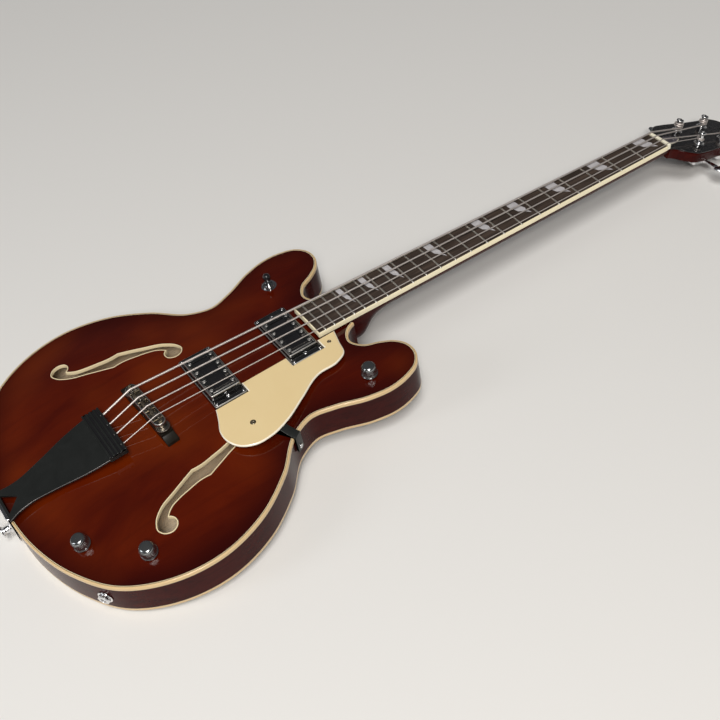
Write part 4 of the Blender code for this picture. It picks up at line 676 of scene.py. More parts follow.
def archedNormals(piece, height, faces, sign):
    # the arched face takes its normals from the height's slope, and every other face its own
    mesh = piece.data
    rowToBody = inv(bodyToRow)
    local = placed(flatNumbers(mesh.vertices, "co", 3), rowToBody)
    x, y = local[:, 0], local[:, 1]
    slopeX = (height(x + 0.4, y) - height(x - 0.4, y)) / 0.8
    slopeY = (height(x, y + 0.4) - height(x, y - 0.4)) / 0.8
    normals = sign * np.column_stack([-slopeX, -slopeY, np.ones(len(x))])
    normals = normals @ (bodyToRow[:3, :3].T * 1000)
    normals /= np.linalg.norm(normals, axis=1)[:, None]
    corner = flatNumbers(mesh.loops, "vertex_index", 1, np.int32)
    own = flatNumbers(mesh.polygons, "normal", 3)
    sizes = flatNumbers(mesh.polygons, "loop_total", 1, np.int32)
    made = np.repeat(own, sizes, 0)
    arched = np.repeat(np.arange(len(sizes)) < faces, sizes)
    made[arched] = normals[corner[arched]]
    mesh.normals_split_custom_set(made.tolist())
    gap = mesh.attributes.new("edgeGap", "FLOAT", "POINT")
    gap.data.foreach_set("value", (inParts(edgeMeasure, x, y) * 0.001).astype(np.float32))


def closedByNeck(distance):
    # the outline moved inwards; across the neck it stays where it is
    line = leftOf(edgeLine, distance, closed=False)
    return line[(line[:, 0] <= neckJoint + 0.01) | (np.abs(line[:, 1]) > bodyPlan["pocketHalf"])]


def makePlate(name, height, thickness, holes, slot):
    lines = [closedByNeck(d) for d in bodyPlan["purfling"]]
    verts, triangles, middle = filledPlan(lines[0], holes, lines[1:], bodyPlan["cell"],
                                          closedByNeck(bodyPlan["gridInset"]))
    gap = inParts(edgeMeasure, middle[:, 0], middle[:, 1])
    look = np.array([1, 2, 1, 0])[np.searchsorted(bodyPlan["purfling"][1:], gap)]     # dark, cream, dark, wood
    level = height(verts[:, 0], verts[:, 1])
    shape = filledShape(verts, triangles, level, level - thickness, look, 0, 3)
    piece = makePiece(name, [shape], [slot, "darkLine", "cream_plastic", "bare_maple"], merge=False)
    piece.data.shade_smooth()
    archedNormals(piece, height, len(triangles), np.sign(thickness))


def holeEdge(side):
    half = np.vstack([smoothLine(bodyPlan["holeStem"], 8)[:-1], smoothLine(bodyPlan["holeLobe"], 8)[:-1]])
    whole = np.vstack([half, -half]) + bodyPlan["holeCentre"]
    return anticlockwise(whole * (1, side))


# Neck frame, and what is measured along it
neck = {
    "scale": 775, "frets": 22, "pastLastFret": 10.5, "overBody": 45.6, "endHeight": 13.4, "board": 6,
    "boardRadius": 305, "binding": 1.5, "nutWidth": 38.7, "endWidth": 54.2, "nutLength": 5, "angle": radians(5),
    "heelDepth": 44, "headAngle": radians(16), "headThick": 14, "veneer": 1.5, "headDrop": 6,
    "spreadAtNut": 32.4, "spreadAtBridge": 52.4, "heightAtNut": 1.4, "heightAtBridge": 4, "gap": 0.3,
    # how deep, how full and how much leant a section is, by distance from the joint and then from the nut
    "fromJoint": [(0, 44, 0.45, 1), (15, 44, 0.5, 1), (22, 38, 0.6, 0.6), (30, 28, 0.75, 0.3), (40, 21, 0.85, 0),
                  (56, 17.5, 0.9, 0)],
    "fromNut": [(-30, 15, 0.9, 0), (5, 15, 0.8, 0)], "tongueReach": 8,
}
head = {
    # the throat runs from the neck into the headstock, and the rest is seen from the headstock's own frame
    "throat": (4.9, 26), "throatDepth": 14, "throatThins": 4.4, "throatSwell": 1.6,
    "half": [(0.5, 19.3), (8, 21), (20, 33), (33, 41.5), (48, 42), (85, 38.5), (120, 36.5), (142, 37), (154, 29),
             (160, 14), (163, 0)],
    "cover": [(1.5, 8), (9, 9.5), (22, 8.5), (32, 5), (38, 0)], "coverScrews": ((5.5, 5), (5.5, -5), (31.5, 0)),
}
stringRadii = {"e": 1.3, "a": 1.05, "d": 0.85, "g": 0.6}
flanks = {"bass": 1, "treble": -1}
boardLength = neck["scale"] * (1 - 2**(-neck["frets"] / 12)) + neck["pastLastFret"]
boardEnd = neckJoint - neck["overBody"]
neckAt = shift(boardEnd, 0, neck["endHeight"]) @ turn("Y", neck["angle"]) @ shift(boardLength, 0, 0)
headAt = neckAt @ shift(neck["nutLength"] + neck["gap"], 0, -neck["headDrop"]) @ turn("Y", neck["headAngle"])


def onNeck(x, z):
    return (x - neckAt[0, 3] - z * sin(neck["angle"])) / cos(neck["angle"])


def halfWidth(station):
    return (neck["nutWidth"] - (neck["endWidth"] - neck["nutWidth"]) * station / boardLength) / 2


def crown(y):
    return -y * y / (2 * neck["boardRadius"])


def stringSide(name, spread):
    return {"e": 0.5, "a": 1 / 6, "d": -1 / 6, "g": -0.5}[name] * spread


bridge = {"slant": radians(3), "setBack": 5, "base": (15, 108, 10), "postSpacing": 70, "bar": (14, 76, 6.6),
          "tray": (11, 5), "lift": 14, "wheel": (8.5, 2.4), "stud": 2, "saddle": (3.6, 9),
          "setting": {"e": -2.2, "a": -1, "d": 0.3, "g": 1.4}, "toTailpiece": 43, "shoulder": 11, "footHalf": 24}
bridgeStation = placed((-neck["scale"] - bridge["setBack"], 0, 0), neckAt)[0]
bridgeAt = shift(bridgeStation, 0, topAt(bridgeStation, 0)) @ turn("Z", bridge["slant"])

pickup = {"size": (37.5, 69, 17), "ring": (41.5, 90.5, 3.6), "earSpan": 82, "proud": {"neck": 3.8, "bridge": 7},
          "pitch": radians(3), "neckPickupToBoard": 26.9, "bridgePickupToBridge": 82,
          "poleSpacing": 17.3, "poleRow": 13.6, "ringEdge": ((0.12, 0.7), (0.45, 0.25), (0.8, 0.05)),
          "coverEdge": ((0.1, 0.85), (0.38, 0.38), (0.85, 0.1), (1.3, 0))}
pickupStations = {"neck": boardEnd - pickup["neckPickupToBoard"],
                  "bridge": bridgeStation + pickup["bridgePickupToBridge"]}
tail = {"thick": 2.4, "block": (21, 75, 8), "waist": (27, 19.5), "tailHalf": 25, "height": 5, "blockHeight": 27,
        "ribs": 5, "anchorDepth": 3.6, "groove": 1.7, "bracketHalf": 18, "sheet": 1.8, "shelfEnd": 3.4,
        "window": [(4.2, 15), (4.2, -15), (20.5, 0)],
        "button": [(0, 0.3), (6.5, 0.3), (6.5, 1.4), (4, 3.5), (4, 8), (7.2, 10.5), (7.2, 12), (2.2, 12), (2.0, 11.4),
                   (0, 11.4)]}
knobs = {"tone": (50.7, -99.5), "volume": (101.5, -155), "master": (409, -108)}
switchPlace = (398, 94)


# Body shell
topHoles = [holeEdge(1), holeEdge(-1), circle(*switchPlace, bodyPlan["switchHole"])]
topHoles += [circle(*place, bodyPlan["knobHole"]) for place in knobs.values()]
pickupHole = rounded(pickup["size"][0] + bodyPlan["pickupGap"], pickup["earSpan"] + bodyPlan["pickupGap"], 2)
topHoles += [pickupHole + (station, 0) for station in pickupStations.values()]
makePlate("body_top", topHeight, bodyPlan["plate"], topHoles, "walnut_gloss")
makePlate("body_back", backHeight, -bodyPlan["plate"], [], "cherry_gloss")
print("top and back made")


def levelAt(height):
    return lambda x, y: np.full(len(x), float(height))


def rimFrame(station, depth):
    # a frame on the treble rim, Y up and Z outwards
    middle = (len(edgeRing) - len(neckFace)) // 2      # the tail end, half-way round
    index = middle + int(np.argmax(edgeRing[middle:, 0] >= station))
    a, b = edgeRing[index - 1], edgeRing[index + 1]
    out = Vector((b[1] - a[1], a[0] - b[0], 0)).normalized()
    along = Vector((0, 0, 1)).cross(out)
    return shift(*edgeRing[index], depth) @ np.array(Matrix((along, Vector((0, 0, 1)), out)).transposed().to_4x4())


jackAt = rimFrame(42, -bodyPlan["depth"] / 2)


def makeSides():
    deep, plate, wall, gap = (bodyPlan[key] for key in ("depth", "plate", "wall", "gap"))
    low, high = -deep + plate + gap, -plate - gap
    side = [(0.05, high), (0.05, (high + low) / 2), (0.05, low), (wall, low), (wall, high)]
    bore = movedShape(rodShape(bodyPlan["jackHole"], -14, 6), jackAt)
    makePiece("body_rim", [bandShape(edgeRing, side, levelAt(0), True)], ["cherry_gloss"], carve=[bore])
    out, inside, top, bottom = bodyPlan["line"]
    curve = bodyPlan["bindingRound"]
    curve = [(curve[0][0], -plate - top), *curve, (curve[-1][0], -plate - top)]
    line = [(out, -plate - top), (out, -plate - bottom), (inside, -plate - bottom), (inside, -plate - top)]
    for name, height, sign in (("front_binding", 0, 1), ("back_binding", -deep, -1)):
        shapes = [bandShape(edgeLine, [(d, sign * z) for d, z in profile], levelAt(height), False, look)
                  for look, profile in enumerate((curve, line))]
        # the bindings' darker cream is painted shade
        makePiece(name, shapes, ["shadedAgedCream", "darkLine"])
    lip = bodyPlan["holeRound"]
    lip = [(lip[0][0], -plate), *lip, (lip[-1][0], -plate)]
    for name, side in flanks.items():
        makePiece("f_hole_binding_" + name, [bandShape(holeEdge(side), lip, topHeight, True)], ["cream_plastic"])


makeSides()
print("sides, bindings and sound holes made")


# Neck
def makeNeck():
    under = -neck["board"] - neck["gap"]
    joint = onNeck(neckJoint + neck["gap"], 0)
    knots = np.array([(joint + x, *rest) for x, *rest in neck["fromJoint"]] + neck["fromNut"])
    station = np.linspace(joint, 5, 260)
    spread = np.linspace(-6, 6, 13)      # each value is a mean over 12 mm, so that the knots don't show
    depth, full, lean = (np.mean([np.interp(station + d, knots[:, 0], knots[:, k]) for d in spread], 0)
                         for k in (1, 2, 3))
    depth[0] = neck["heelDepth"]
    shapes = [neckRings(station, np.full(260, under), depth, full, lean, halfWidth(station) - neck["gap"])]
    step = neck["nutLength"] + neck["gap"]
    low = -neck["headDrop"] - neck["veneer"] - 2 * neck["gap"]
    run = np.linspace(0, 1, 24)
    ease = run**2 * (3 - 2 * run)
    start, reach = head["throat"]
    depth = head["throatDepth"] - head["throatThins"] * run + head["throatSwell"] * np.sin(pi * run)
    shapes.append(neckRings(start + run * (step + reach - start), low - run * reach * tan(neck["headAngle"]),
                            depth, 0.8 - 0.25 * ease, np.zeros(24), np.full(24, neck["nutWidth"] / 2)))
    outline = mirrored(smoothLine(head["half"], 6))
    wood = -neck["veneer"] - neck["gap"]
    headToNeck = inv(neckAt) @ headAt
    shapes.append(movedShape(plateShape(outline, wood - neck["headThick"], wood, 1.6, 5), headToNeck))
    # the tongue under the board's end fills what is left down to the body's top
    foot = neckJoint + neck["tongueReach"]
    tongueEnd, far = placed([(onNeck(x, under), 0, under) for x in (boardEnd, foot)], neckAt)
    side = halfWidth(joint) - neck["gap"] - 0.1
    tongue = [(boardEnd, 2.2), (neckJoint + 4, 0.8), (neckJoint + 4, -2), (foot, -2), (far[0], far[2] - 0.1),
              (tongueEnd[0], tongueEnd[2] - 0.1)]
    tongueShape = movedShape(plateShape(tongue, -side, side, 0.4), sideways)
    shapes.append(movedShape(tongueShape, inv(neckAt)))
    makePiece("neck", shapes, ["cherry_gloss"], at=neckAt)

    veneer = plateShape(outline, -neck["veneer"], 0, 0.35)
    makePiece("headstock_veneer", [veneer], ["veneer"], at=headAt)
    cover = mirrored(smoothLine(head["cover"], 6))
    shapes = [plateShape(cover, 0.2, 1.0, 0.2, look=1), plateShape(leftOf(anticlockwise(cover), 1.0), 0.9, 2.1, 0.5)]
    shapes += [screwShape("cover", shift(x, y, 2.0), look=2) for x, y in head["coverScrews"]]
    makePiece("truss_rod_cover", shapes, ["coverPlastic", "guardEdge", "chrome"],
              at=headAt)


def neckRings(station, top, depth, full, lean, half):
    # each section is flat on top; below, sideways and downwards go as powers of cosine and sine
    angle = np.linspace(0, pi, 41)[1:-1]
    c, s = np.cos(angle), np.sin(angle)
    y = half[:, None] * np.sign(c) * np.abs(c)**full[:, None]
    z = top[:, None] - depth[:, None] * s**full[:, None]
    y = np.column_stack([half, y, -half])
    z = np.column_stack([top, z, top])
    x = station[:, None] - lean[:, None] * z * tan(neck["angle"])
    return gridShape(np.stack([x, y, z], -1))


screw = {
    # the grooves as shares of radius and height, and each kind's radius and height
    "sides": 48, "grooveWide": 0.16, "grooveReach": 0.62, "grooveDeep": 0.45,
    "cover": (1.5, 0.7), "housing": (1.5, 0.6), "stud": (2.6, 0.8), "saddle": (1.5, 0.7), "bracket": (3.2, 1.6),
    "button": (1.9, 0.7), "pickupHeight": (2.3, 1.0), "pickupCorner": (1.8, 0.8), "pole": (2.3, 0.8),
    "guardFront": (2.9, 0.9), "guardBack": (1.9, 0.9), "guardSide": (3.0, 1.4),
}


def screwShape(kind, *matrices, look=0):
    # a domed head with a cross of two grooves pressed into it
    radius, height = screw[kind]
    share = np.linspace(0, 1, 9)
    angle = np.arange(screw["sides"]) * 2 * pi / screw["sides"]
    r = np.concatenate([[0.98, 1.0], np.cos(share * pi / 2)**0.8]) * radius
    z = np.concatenate([[-0.4, 0.25 * height], height * (0.3 + 0.7 * np.sin(share * pi / 2))])
    r[-1] = 0
    x, y = r[:, None] * np.cos(angle), r[:, None] * np.sin(angle)
    z = np.repeat(z[:, None], screw["sides"], 1)
    pressed = np.clip(1 - np.minimum(np.abs(x), np.abs(y)) / (screw["grooveWide"] * radius), 0, 1)
    pressed *= (np.hypot(x, y) < screw["grooveReach"] * radius) * (z > 0.5 * height)
    z = z - screw["grooveDeep"] * height * pressed
    return movedShape(gridShape(np.stack([x, y, z], -1), caps=False, look=look), *matrices)


fret = {"half": 1.1, "high": 1.0, "inset": 0.5, "sunk": 0.4}
inlay = {
    "frets": (1, 3, 5, 7, 9, 12, 15, 17, 19), "proud": 0.03, "thick": 0.4, "cell": 2.5,
    # a wedge: (share of the fret space from the nut's side, share of the width from the lowest string's side)
    "wedge": [(0.28, 0.015), (0.72, 0.015), (0.72, 0.25), (0.67, 0.275), (0.59, 0.50), (0.50, 0.55),
              (0.18, 0.79), (0.25, 0.55), (0.21, 0.50), (0.30, 0.275), (0.28, 0.25)],
}


def fretPlace(number):
    # equal temperament: each fret leaves the twelfth root of a half of the length before it
    return -neck["scale"] * (1 - 2**(-number / 12))


def makeFingerboard():
    edge = neck["binding"]
    x = np.linspace(edge - boardLength, 0, 90)
    across = np.linspace(1, -1, 25)
    half = halfWidth(x) - edge
    y = np.column_stack([half[:, None] * across, -half, half])
    z = np.column_stack([crown(half[:, None] * across), np.full((90, 2), -neck["board"])])
    board = gridShape(np.stack([np.repeat(x[:, None], 27, 1), y, z], -1))
    makePiece("fingerboard", [board], ["rosewood"], at=neckAt)

    side = np.column_stack([np.linspace(0, -boardLength, 60), halfWidth(np.linspace(0, -boardLength, 60))])
    end = np.column_stack([np.full(19, -boardLength), np.linspace(side[-1, 1], -side[-1, 1], 21)[1:-1]])
    line = np.vstack([side, end, side[::-1] * (1, -1)])
    profile = [(edge, -neck["board"]), (edge, 0.0), (0.6, 0.0), (0.2, -0.12), (0.0, -0.5), (0.0, -neck["board"])]
    trim = bandShape(line, profile, lambda x, y: crown(y), False)
    # the binding's lighter cream is painted light
    makePiece("fingerboard_binding", [trim], ["litBoardCream"], at=neckAt)

    frets = []
    arc = np.linspace(0, pi, 9)
    for number in range(1, neck["frets"] + 1):
        place = fretPlace(number)
        reach = halfWidth(place) - fret["inset"]
        y = reach * np.concatenate([[-1, -0.985], np.linspace(-0.96, 0.96, 23), [0.985, 1]])
        lift = np.clip((reach - np.abs(y)) / 1.2, 0.12, 1)
        z = crown(y)[:, None] - 0.02 + lift[:, None] * np.sin(arc) * fret["high"]
        xs = place - fret["half"] * np.cos(arc)
        points = np.stack([np.broadcast_to(xs, z.shape), np.broadcast_to(y[:, None], z.shape), z], -1)
        base = np.stack([np.broadcast_to([xs[-1], xs[0]], (27, 2)), np.repeat(y[:, None], 2, 1),
                         np.repeat(crown(y)[:, None] - fret["sunk"], 2, 1)], -1)
        frets.append(gridShape(np.concatenate([points, base], 1)))
    makePiece("frets", frets, ["fretMetal"], at=neckAt)

    wedge = np.array(inlay["wedge"])
    inlays = []
    for number in inlay["frets"]:
        near, far = fretPlace(number - 1), fretPlace(number)
        shrink = 1 - 0.006 * number      # the wedges get a little narrower towards the body
        u = near + (far - near) * (0.5 + (wedge[:, 0] - 0.5) * (1.0 if number > 1 else 0.9))
        v = (halfWidth(u) - edge) * (1 - 2 * wedge[:, 1] * shrink)
        outline = np.stack([u, v], 1)
        steps = np.array([0, 0.33, 0.66])[:, None]
        fine = outline[:, None] + (np.roll(outline, -1, 0) - outline)[:, None] * steps
        fine = anticlockwise(fine.reshape(-1, 2))
        verts, triangles, _ = filledPlan(fine, [], [], inlay["cell"], leftOf(fine, 0.6))
        top = crown(verts[:, 1]) + inlay["proud"]
        inlays.append(filledShape(verts, triangles, top, top - inlay["thick"], np.zeros(len(triangles)), 0, 0))
    makePiece("inlays", inlays, ["pearl"], at=neckAt)


nut = {
    "above": 1.1, "crown": 0.8, "endDrop": 0.9, "endRun": 1.15, "play": 0.12,
    # the rounded top, as shares of its length and drops from the crest
    "share": [0, 0, 0.08, 0.2, 0.5, 0.8, 0.92, 1, 1], "drop": [0.9, 0.55, 0.2, 0.05, 0, 0.05, 0.2, 0.55, 0.9],
}


def makeNut():
    half = neck["nutWidth"] / 2
    y = np.linspace(1, -1, 241) * half
    crest = neck["heightAtNut"] + nut["above"] + nut["crown"] * crown(y)
    crest = crest - nut["endDrop"] * np.clip((np.abs(y) - half + nut["endRun"]) / nut["endRun"], 0, 1)**2
    for name, radius in stringRadii.items():
        centre = stringSide(name, neck["spreadAtNut"])
        middle = neck["heightAtNut"] + crown(centre) + radius
        wide = radius + nut["play"]
        off = np.abs(y - centre)
        floor = middle - np.sqrt(np.clip(wide**2 - off**2, 0, None))
        crest = np.where(off < wide, np.minimum(crest, floor), crest)
    x = neck["gap"] + np.array(nut["share"]) * (neck["nutLength"] - neck["gap"])
    top = np.stack(np.broadcast_arrays(x[:, None], y, crest - np.array(nut["drop"])[:, None]), -1)
    foot = np.stack([np.repeat(x[:, None], 2, 1), np.tile([y[-1], y[0]], (9, 1)), np.full((9, 2), -neck["board"])], -1)
    makePiece("nut", [gridShape(np.concatenate([top, foot], 1))], ["nut_bone"], at=neckAt, sharp=50)


makeNeck()
makeFingerboard()
makeNut()
print("neck made")


# Tuners, in the headstock's frame
tuner = {"posts": {"e": (58, 20.5), "a": (110, 19), "d": (110, -19), "g": (58, -20.5)}, "radius": 4, "height": 17,
         "wheel": 6.5, "worm": 3, "housing": (26, 22, 11), "reach": 31, "keyLength": 22, "keyThick": 5,
         "screws": (0.38, 0.36), "turns": 2.1, "firstTurn": 5.2, "turnGap": 0.2,
         "ferrule": [(5.35, 0.1), (7.4, 0.1), (7.4, 1.0), (6.9, 1.5), (6.2, 1.7), (6.0, 2.6), (5.6, 2.9), (4.3, 2.9)]}


def makeTuner(name):
    x, y = tuner["posts"][name]
    side = 1 if y > 0 else -1
    at = headAt @ shift(x, y, 0)
    back = -neck["veneer"] - neck["headThick"] - 0.6
    length, width, depth = tuner["housing"]
    low, middle = back - depth, back - depth / 2
    offset = tuner["wheel"] + tuner["worm"] + 0.3
    case = rounded(length, width, 3.5) + ((offset - tuner["wheel"]) / 2 + 1, 0)
    flange = rounded(length + 1.2, width + 1.2, 3.5) + case.mean(0)
    shapes = [plateShape(case, low, back, 1.8, 6), plateShape(flange, back - 1.6, back, 0.4)]
    for a, b in ((-1, -1), (-1, 1), (1, -1), (1, 1)):
        spot = case.mean(0) + (a * tuner["screws"][0] * length, b * tuner["screws"][1] * width)
        shapes.append(screwShape("housing", shift(*spot, low + 0.15), turn("X", pi)))
    ferrule = [(5.35, back - 2), *tuner["ferrule"], (4.3, back - 2)]
    shapes.append(turnedShape(ferrule, 48, soft=(0.2, 2)))
    keyAt = shift(offset, 0, middle) @ turn("X", -side * pi / 2)
    shapes.append(movedShape(rodShape(4.6, 8, width / 2 + 0.2, soft=(0.4,)), keyAt))
    makePiece("tuner_housing_" + name, shapes, ["chrome"], at=at)

    r, h = tuner["radius"], tuner["height"]
    flare = r + 1.3
    profile = [(0, middle - 3), (tuner["wheel"] - 0.2, middle - 3), (tuner["wheel"] - 0.2, middle + 3),
               (r, middle + 3), (r, 4.6), (r - 0.25, 5.4), (r - 0.3, h - 4.2), (r + 0.1, h - 3.2),
               (flare, h - 2.0), (flare, h - 0.7), (flare - 0.8, h), (0, h)]
    slot = boxShape(-9, 9, -1.3, 1.3, h - 4, h + 3, 0.2)
    post = turnedShape(profile, 48, soft=(0.35,))
    makePiece("tuner_post_" + name, [post], ["chrome"], "post_" + name, at=at, carve=[slot])

    reach, collarAt = tuner["reach"], width / 2 + 0.3
    shaft = [(0, -8), (3, -8), (3, 8), (2.4, 8.6), (2.4, collarAt), (4, collarAt), (4, collarAt + 2),
             (2.6, collarAt + 2.6), (2.2, collarAt + 5), (3.2, reach - 3), (3.4, reach + 1), (2.2, reach + 5),
             (0, reach + 5.5)]
    angle = np.arange(72) * 2 * pi / 72      # the button has three low lobes
    lobe = 0.5 * tuner["keyLength"] * (0.88 - 0.12 * np.cos(3 * angle))
    blade = np.stack([lobe * 0.95 * np.sin(angle), reach + tuner["keyLength"] / 2 - lobe * np.cos(angle)], 1)
    button = movedShape(plateShape(blade, -tuner["keyThick"] / 2, tuner["keyThick"] / 2, 2.1, 6), sideways)
    shapes = [turnedShape(shaft, 32, soft=(0.5,)), button]
    makePiece("tuner_key_" + name, shapes, ["chrome"], "key_" + name, at=at @ keyAt)


for stringName in stringRadii:
    makeTuner(stringName)
print("tuners made")


# Strings
def saddlePlace(name):
    # just under the string, in the body's frame
    y = stringSide(name, neck["spreadAtBridge"])
    x = bridgeStation - y * tan(bridge["slant"]) + bridge["setting"][name]
    station = onNeck(x, neck["heightAtBridge"])
    under = placed((station, y, neck["heightAtBridge"] + crown(y)), neckAt)
    return np.array([x, y, under[2] - 0.3])


def windingPath(name):
    # the turns rise evenly round the post, from where the string meets it
    x, y = tuner["posts"][name]
    side = 1 if y > 0 else -1
    r = stringRadii[name]
    radius = tuner["radius"] + r + 0.05
    start = placed((neck["nutLength"], stringSide(name, neck["spreadAtNut"]), 0), inv(headAt) @ neckAt)
    heading = atan2(y - start[1], x - start[0]) - side * asin(radius / hypot(x - start[0], y - start[1]))
    first = heading - side * pi / 2
    turns = np.linspace(0, tuner["turns"], 110)
    angle = first + side * 2 * pi * turns
    return np.stack([x + radius * np.cos(angle), y + radius * np.sin(angle),
                     tuner["firstTurn"] + r + (2 * r + tuner["turnGap"]) * turns], 1)


def makeString(name):
    # one piece behind the saddle and one before it
    r = stringRadii[name]
    saddle = saddlePlace(name) + (0, 0, 0.3 + r)
    front = bridgeStation - bridge["toTailpiece"]
    y = stringSide(name, neck["spreadAtBridge"])
    anchor = np.array([front - 5, y, tail["blockHeight"] - tail["anchorDepth"]])
    nutY = stringSide(name, neck["spreadAtNut"])
    nutLevel = neck["heightAtNut"] + crown(nutY) + r
    nutEnds = placed([(x, nutY, nutLevel) for x in (neck["gap"], neck["nutLength"])], neckAt)
    turns = placed(windingPath(name), headAt)
    rear = np.vstack([anchor, anchor + (4.5, 0, 0.1), anchor + (7, 0, 0.4), saddle - (1.2, 0, 0.12),
                      saddle - (0.5, 0, 0.02), saddle])
    length = np.linspace(0, 1, 60)[:, None]
    toPost = np.linspace(0.04, 0.96, 6)[:, None]
    fore = np.vstack([saddle, saddle + (0.5, 0, -0.01), saddle + (nutEnds[0] - saddle) * (0.01 + 0.985 * length),
                      nutEnds, nutEnds[1] + (turns[0] - nutEnds[1]) * toPost, turns])
    sides = 14
    for part, path, ends in (("rear", rear, ("root", "bridge_bar")), ("main", fore, ("bridge_bar", "root"))):
        shape = sweptShape(path, circle(0, 0, r, sides))
        piece = makePiece(f"string_{name}_{part}", [shape], ["wound_steel"], node="string_" + name, merge=False)
        travel = np.concatenate([[0], np.cumsum(np.linalg.norm(np.diff(path, axis=0), axis=1))]) * 0.001
        layer = piece.data.uv_layers.new(name="along")
        corner = flatNumbers(piece.data.loops, "vertex_index", 1, np.int32)
        u, v = travel[corner // sides], (corner % sides) / sides
        layer.data.foreach_set("uv", np.stack([u, v], 1).astype(np.float32).ravel())
        piece.parent = None
        first, last = placed(path[[0, -1]] if part == "rear" else [saddle, nutEnds[0]], bodyToRow)
        tuple(first)
        tuple(last)
        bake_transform(piece)


for stringName in stringRadii:
    makeString(stringName)
print("strings made")


# Bridge, in its own frame
def makeBridge():
    depth, length, height = bridge["base"]
    end, shoulder, foot = length / 2, length / 2 - bridge["shoulder"], bridge["footHalf"]
    right = [(end, 0.3), (end, 4.5), (shoulder + 1.5, 6.2), (shoulder + 0.4, 7.2), (shoulder, height)]
    arch = np.column_stack([np.linspace(-foot, foot, 25), 0.3 + 2.7 * np.cos(np.linspace(-pi / 2, pi / 2, 25))])
    profile = np.vstack([right, [(-a, b) for a, b in reversed(right)], arch])
    base = movedShape(plateShape(profile, -depth / 2, depth / 2, 0.9, 4), lengthways)
    makePiece("bridge_base", [base], ["dark_wood"], at=bridgeAt)

    wide, long, high = bridge["bar"]
    low, top = bridge["lift"], bridge["lift"] + high
    trayWide, trayDeep = bridge["tray"]
    trayLong = neck["spreadAtBridge"] + bridge["saddle"][1] + 1.2
    # the bar's bevel takes the lighter satin metal: a painted edge highlight
    bar = plateShape(rounded(wide, long, wide / 2 - 0.2, 12), low, top, 0.9, 4, edgeLook=1)
    tray = plateShape(rounded(trayWide, trayLong, 0.8), top - trayDeep, top + 3, 0.3)
    crests = {name: placed(saddlePlace(name), inv(bridgeAt)) for name in stringRadii}
    shapes = [screwShape("stud", shift(0, side * bridge["postSpacing"] / 2, top)) for side in (-1, 1)]
    for _, y, _ in crests.values():
        rodAt = shift(0, y, top - trayDeep + 1.9) @ turn("Y", pi / 2)
        shapes.append(movedShape(rodShape(0.9, -6.7, 5.8, 20, soft=(0.2,)), rodAt))
        shapes.append(screwShape("saddle", rodAt, shift(0, 0, wide / 2)))
    makePiece("bridge_bar", [bar], ["barNickel", "satinEdgeHighlight"], "bridge_bar", at=bridgeAt,
              carve=[tray])
    makePiece("bridge_screws", shapes, ["agedBrass"], "bridge_bar", at=bridgeAt)

    radius, thick = bridge["wheel"]
    stud, foot = bridge["stud"], low - 0.3 - thick
    profile = [(0, 4), (stud, 4), (stud, foot), (radius - 0.5, foot), (radius, foot + 0.5),
               (radius, foot + thick - 0.5), (radius - 0.5, foot + thick), (stud, foot + thick), (stud, top - 0.5),
               (0, top - 0.5)]
    wheel = turnedShape(profile, 180, soft=(0.15, 2), knurl=(45, 0.35, foot + 0.3, foot + thick - 0.3))
    for name, side in flanks.items():
        makePiece("bridge_wheel_" + name, [wheel], ["barNickel"], "wheel_" + name,
                  at=bridgeAt @ shift(0, side * bridge["postSpacing"] / 2, 0))

    thickness, width = bridge["saddle"]
    half, floor = thickness / 2, top - trayDeep + 0.3
    profile = [(-half, floor), (half, floor), (half, -2.2), (0.9 * half, -1.7), (0.7, -0.25), (0.3, 0.0),
               (-0.3, 0.0), (-0.7, -0.25), (-0.9 * half, -1.7), (-half, -2.2)]
    y = np.linspace(-width / 2, width / 2, 61)
    ends = np.clip((np.abs(y) - width / 2 + 0.5) / 0.5, 0, 1)**2 * 0.5
    for name, crest in crests.items():
        notch = np.clip(1 - np.abs(y) / (stringRadii[name] + 0.5), 0, 1)
        ridge = crest[2] + 0.55 * (1 - notch) - ends
        points = np.stack([np.column_stack([np.full(61, a), y, b + (k > 1) * ridge])
                           for k, (a, b) in enumerate(profile)], 1)      # the first two stay on the tray's floor
        makePiece("saddle_" + name, [gridShape(points)], ["barNickel"], "saddle_" + name,
                  at=bridgeAt @ shift(crest[0], crest[1], 0))


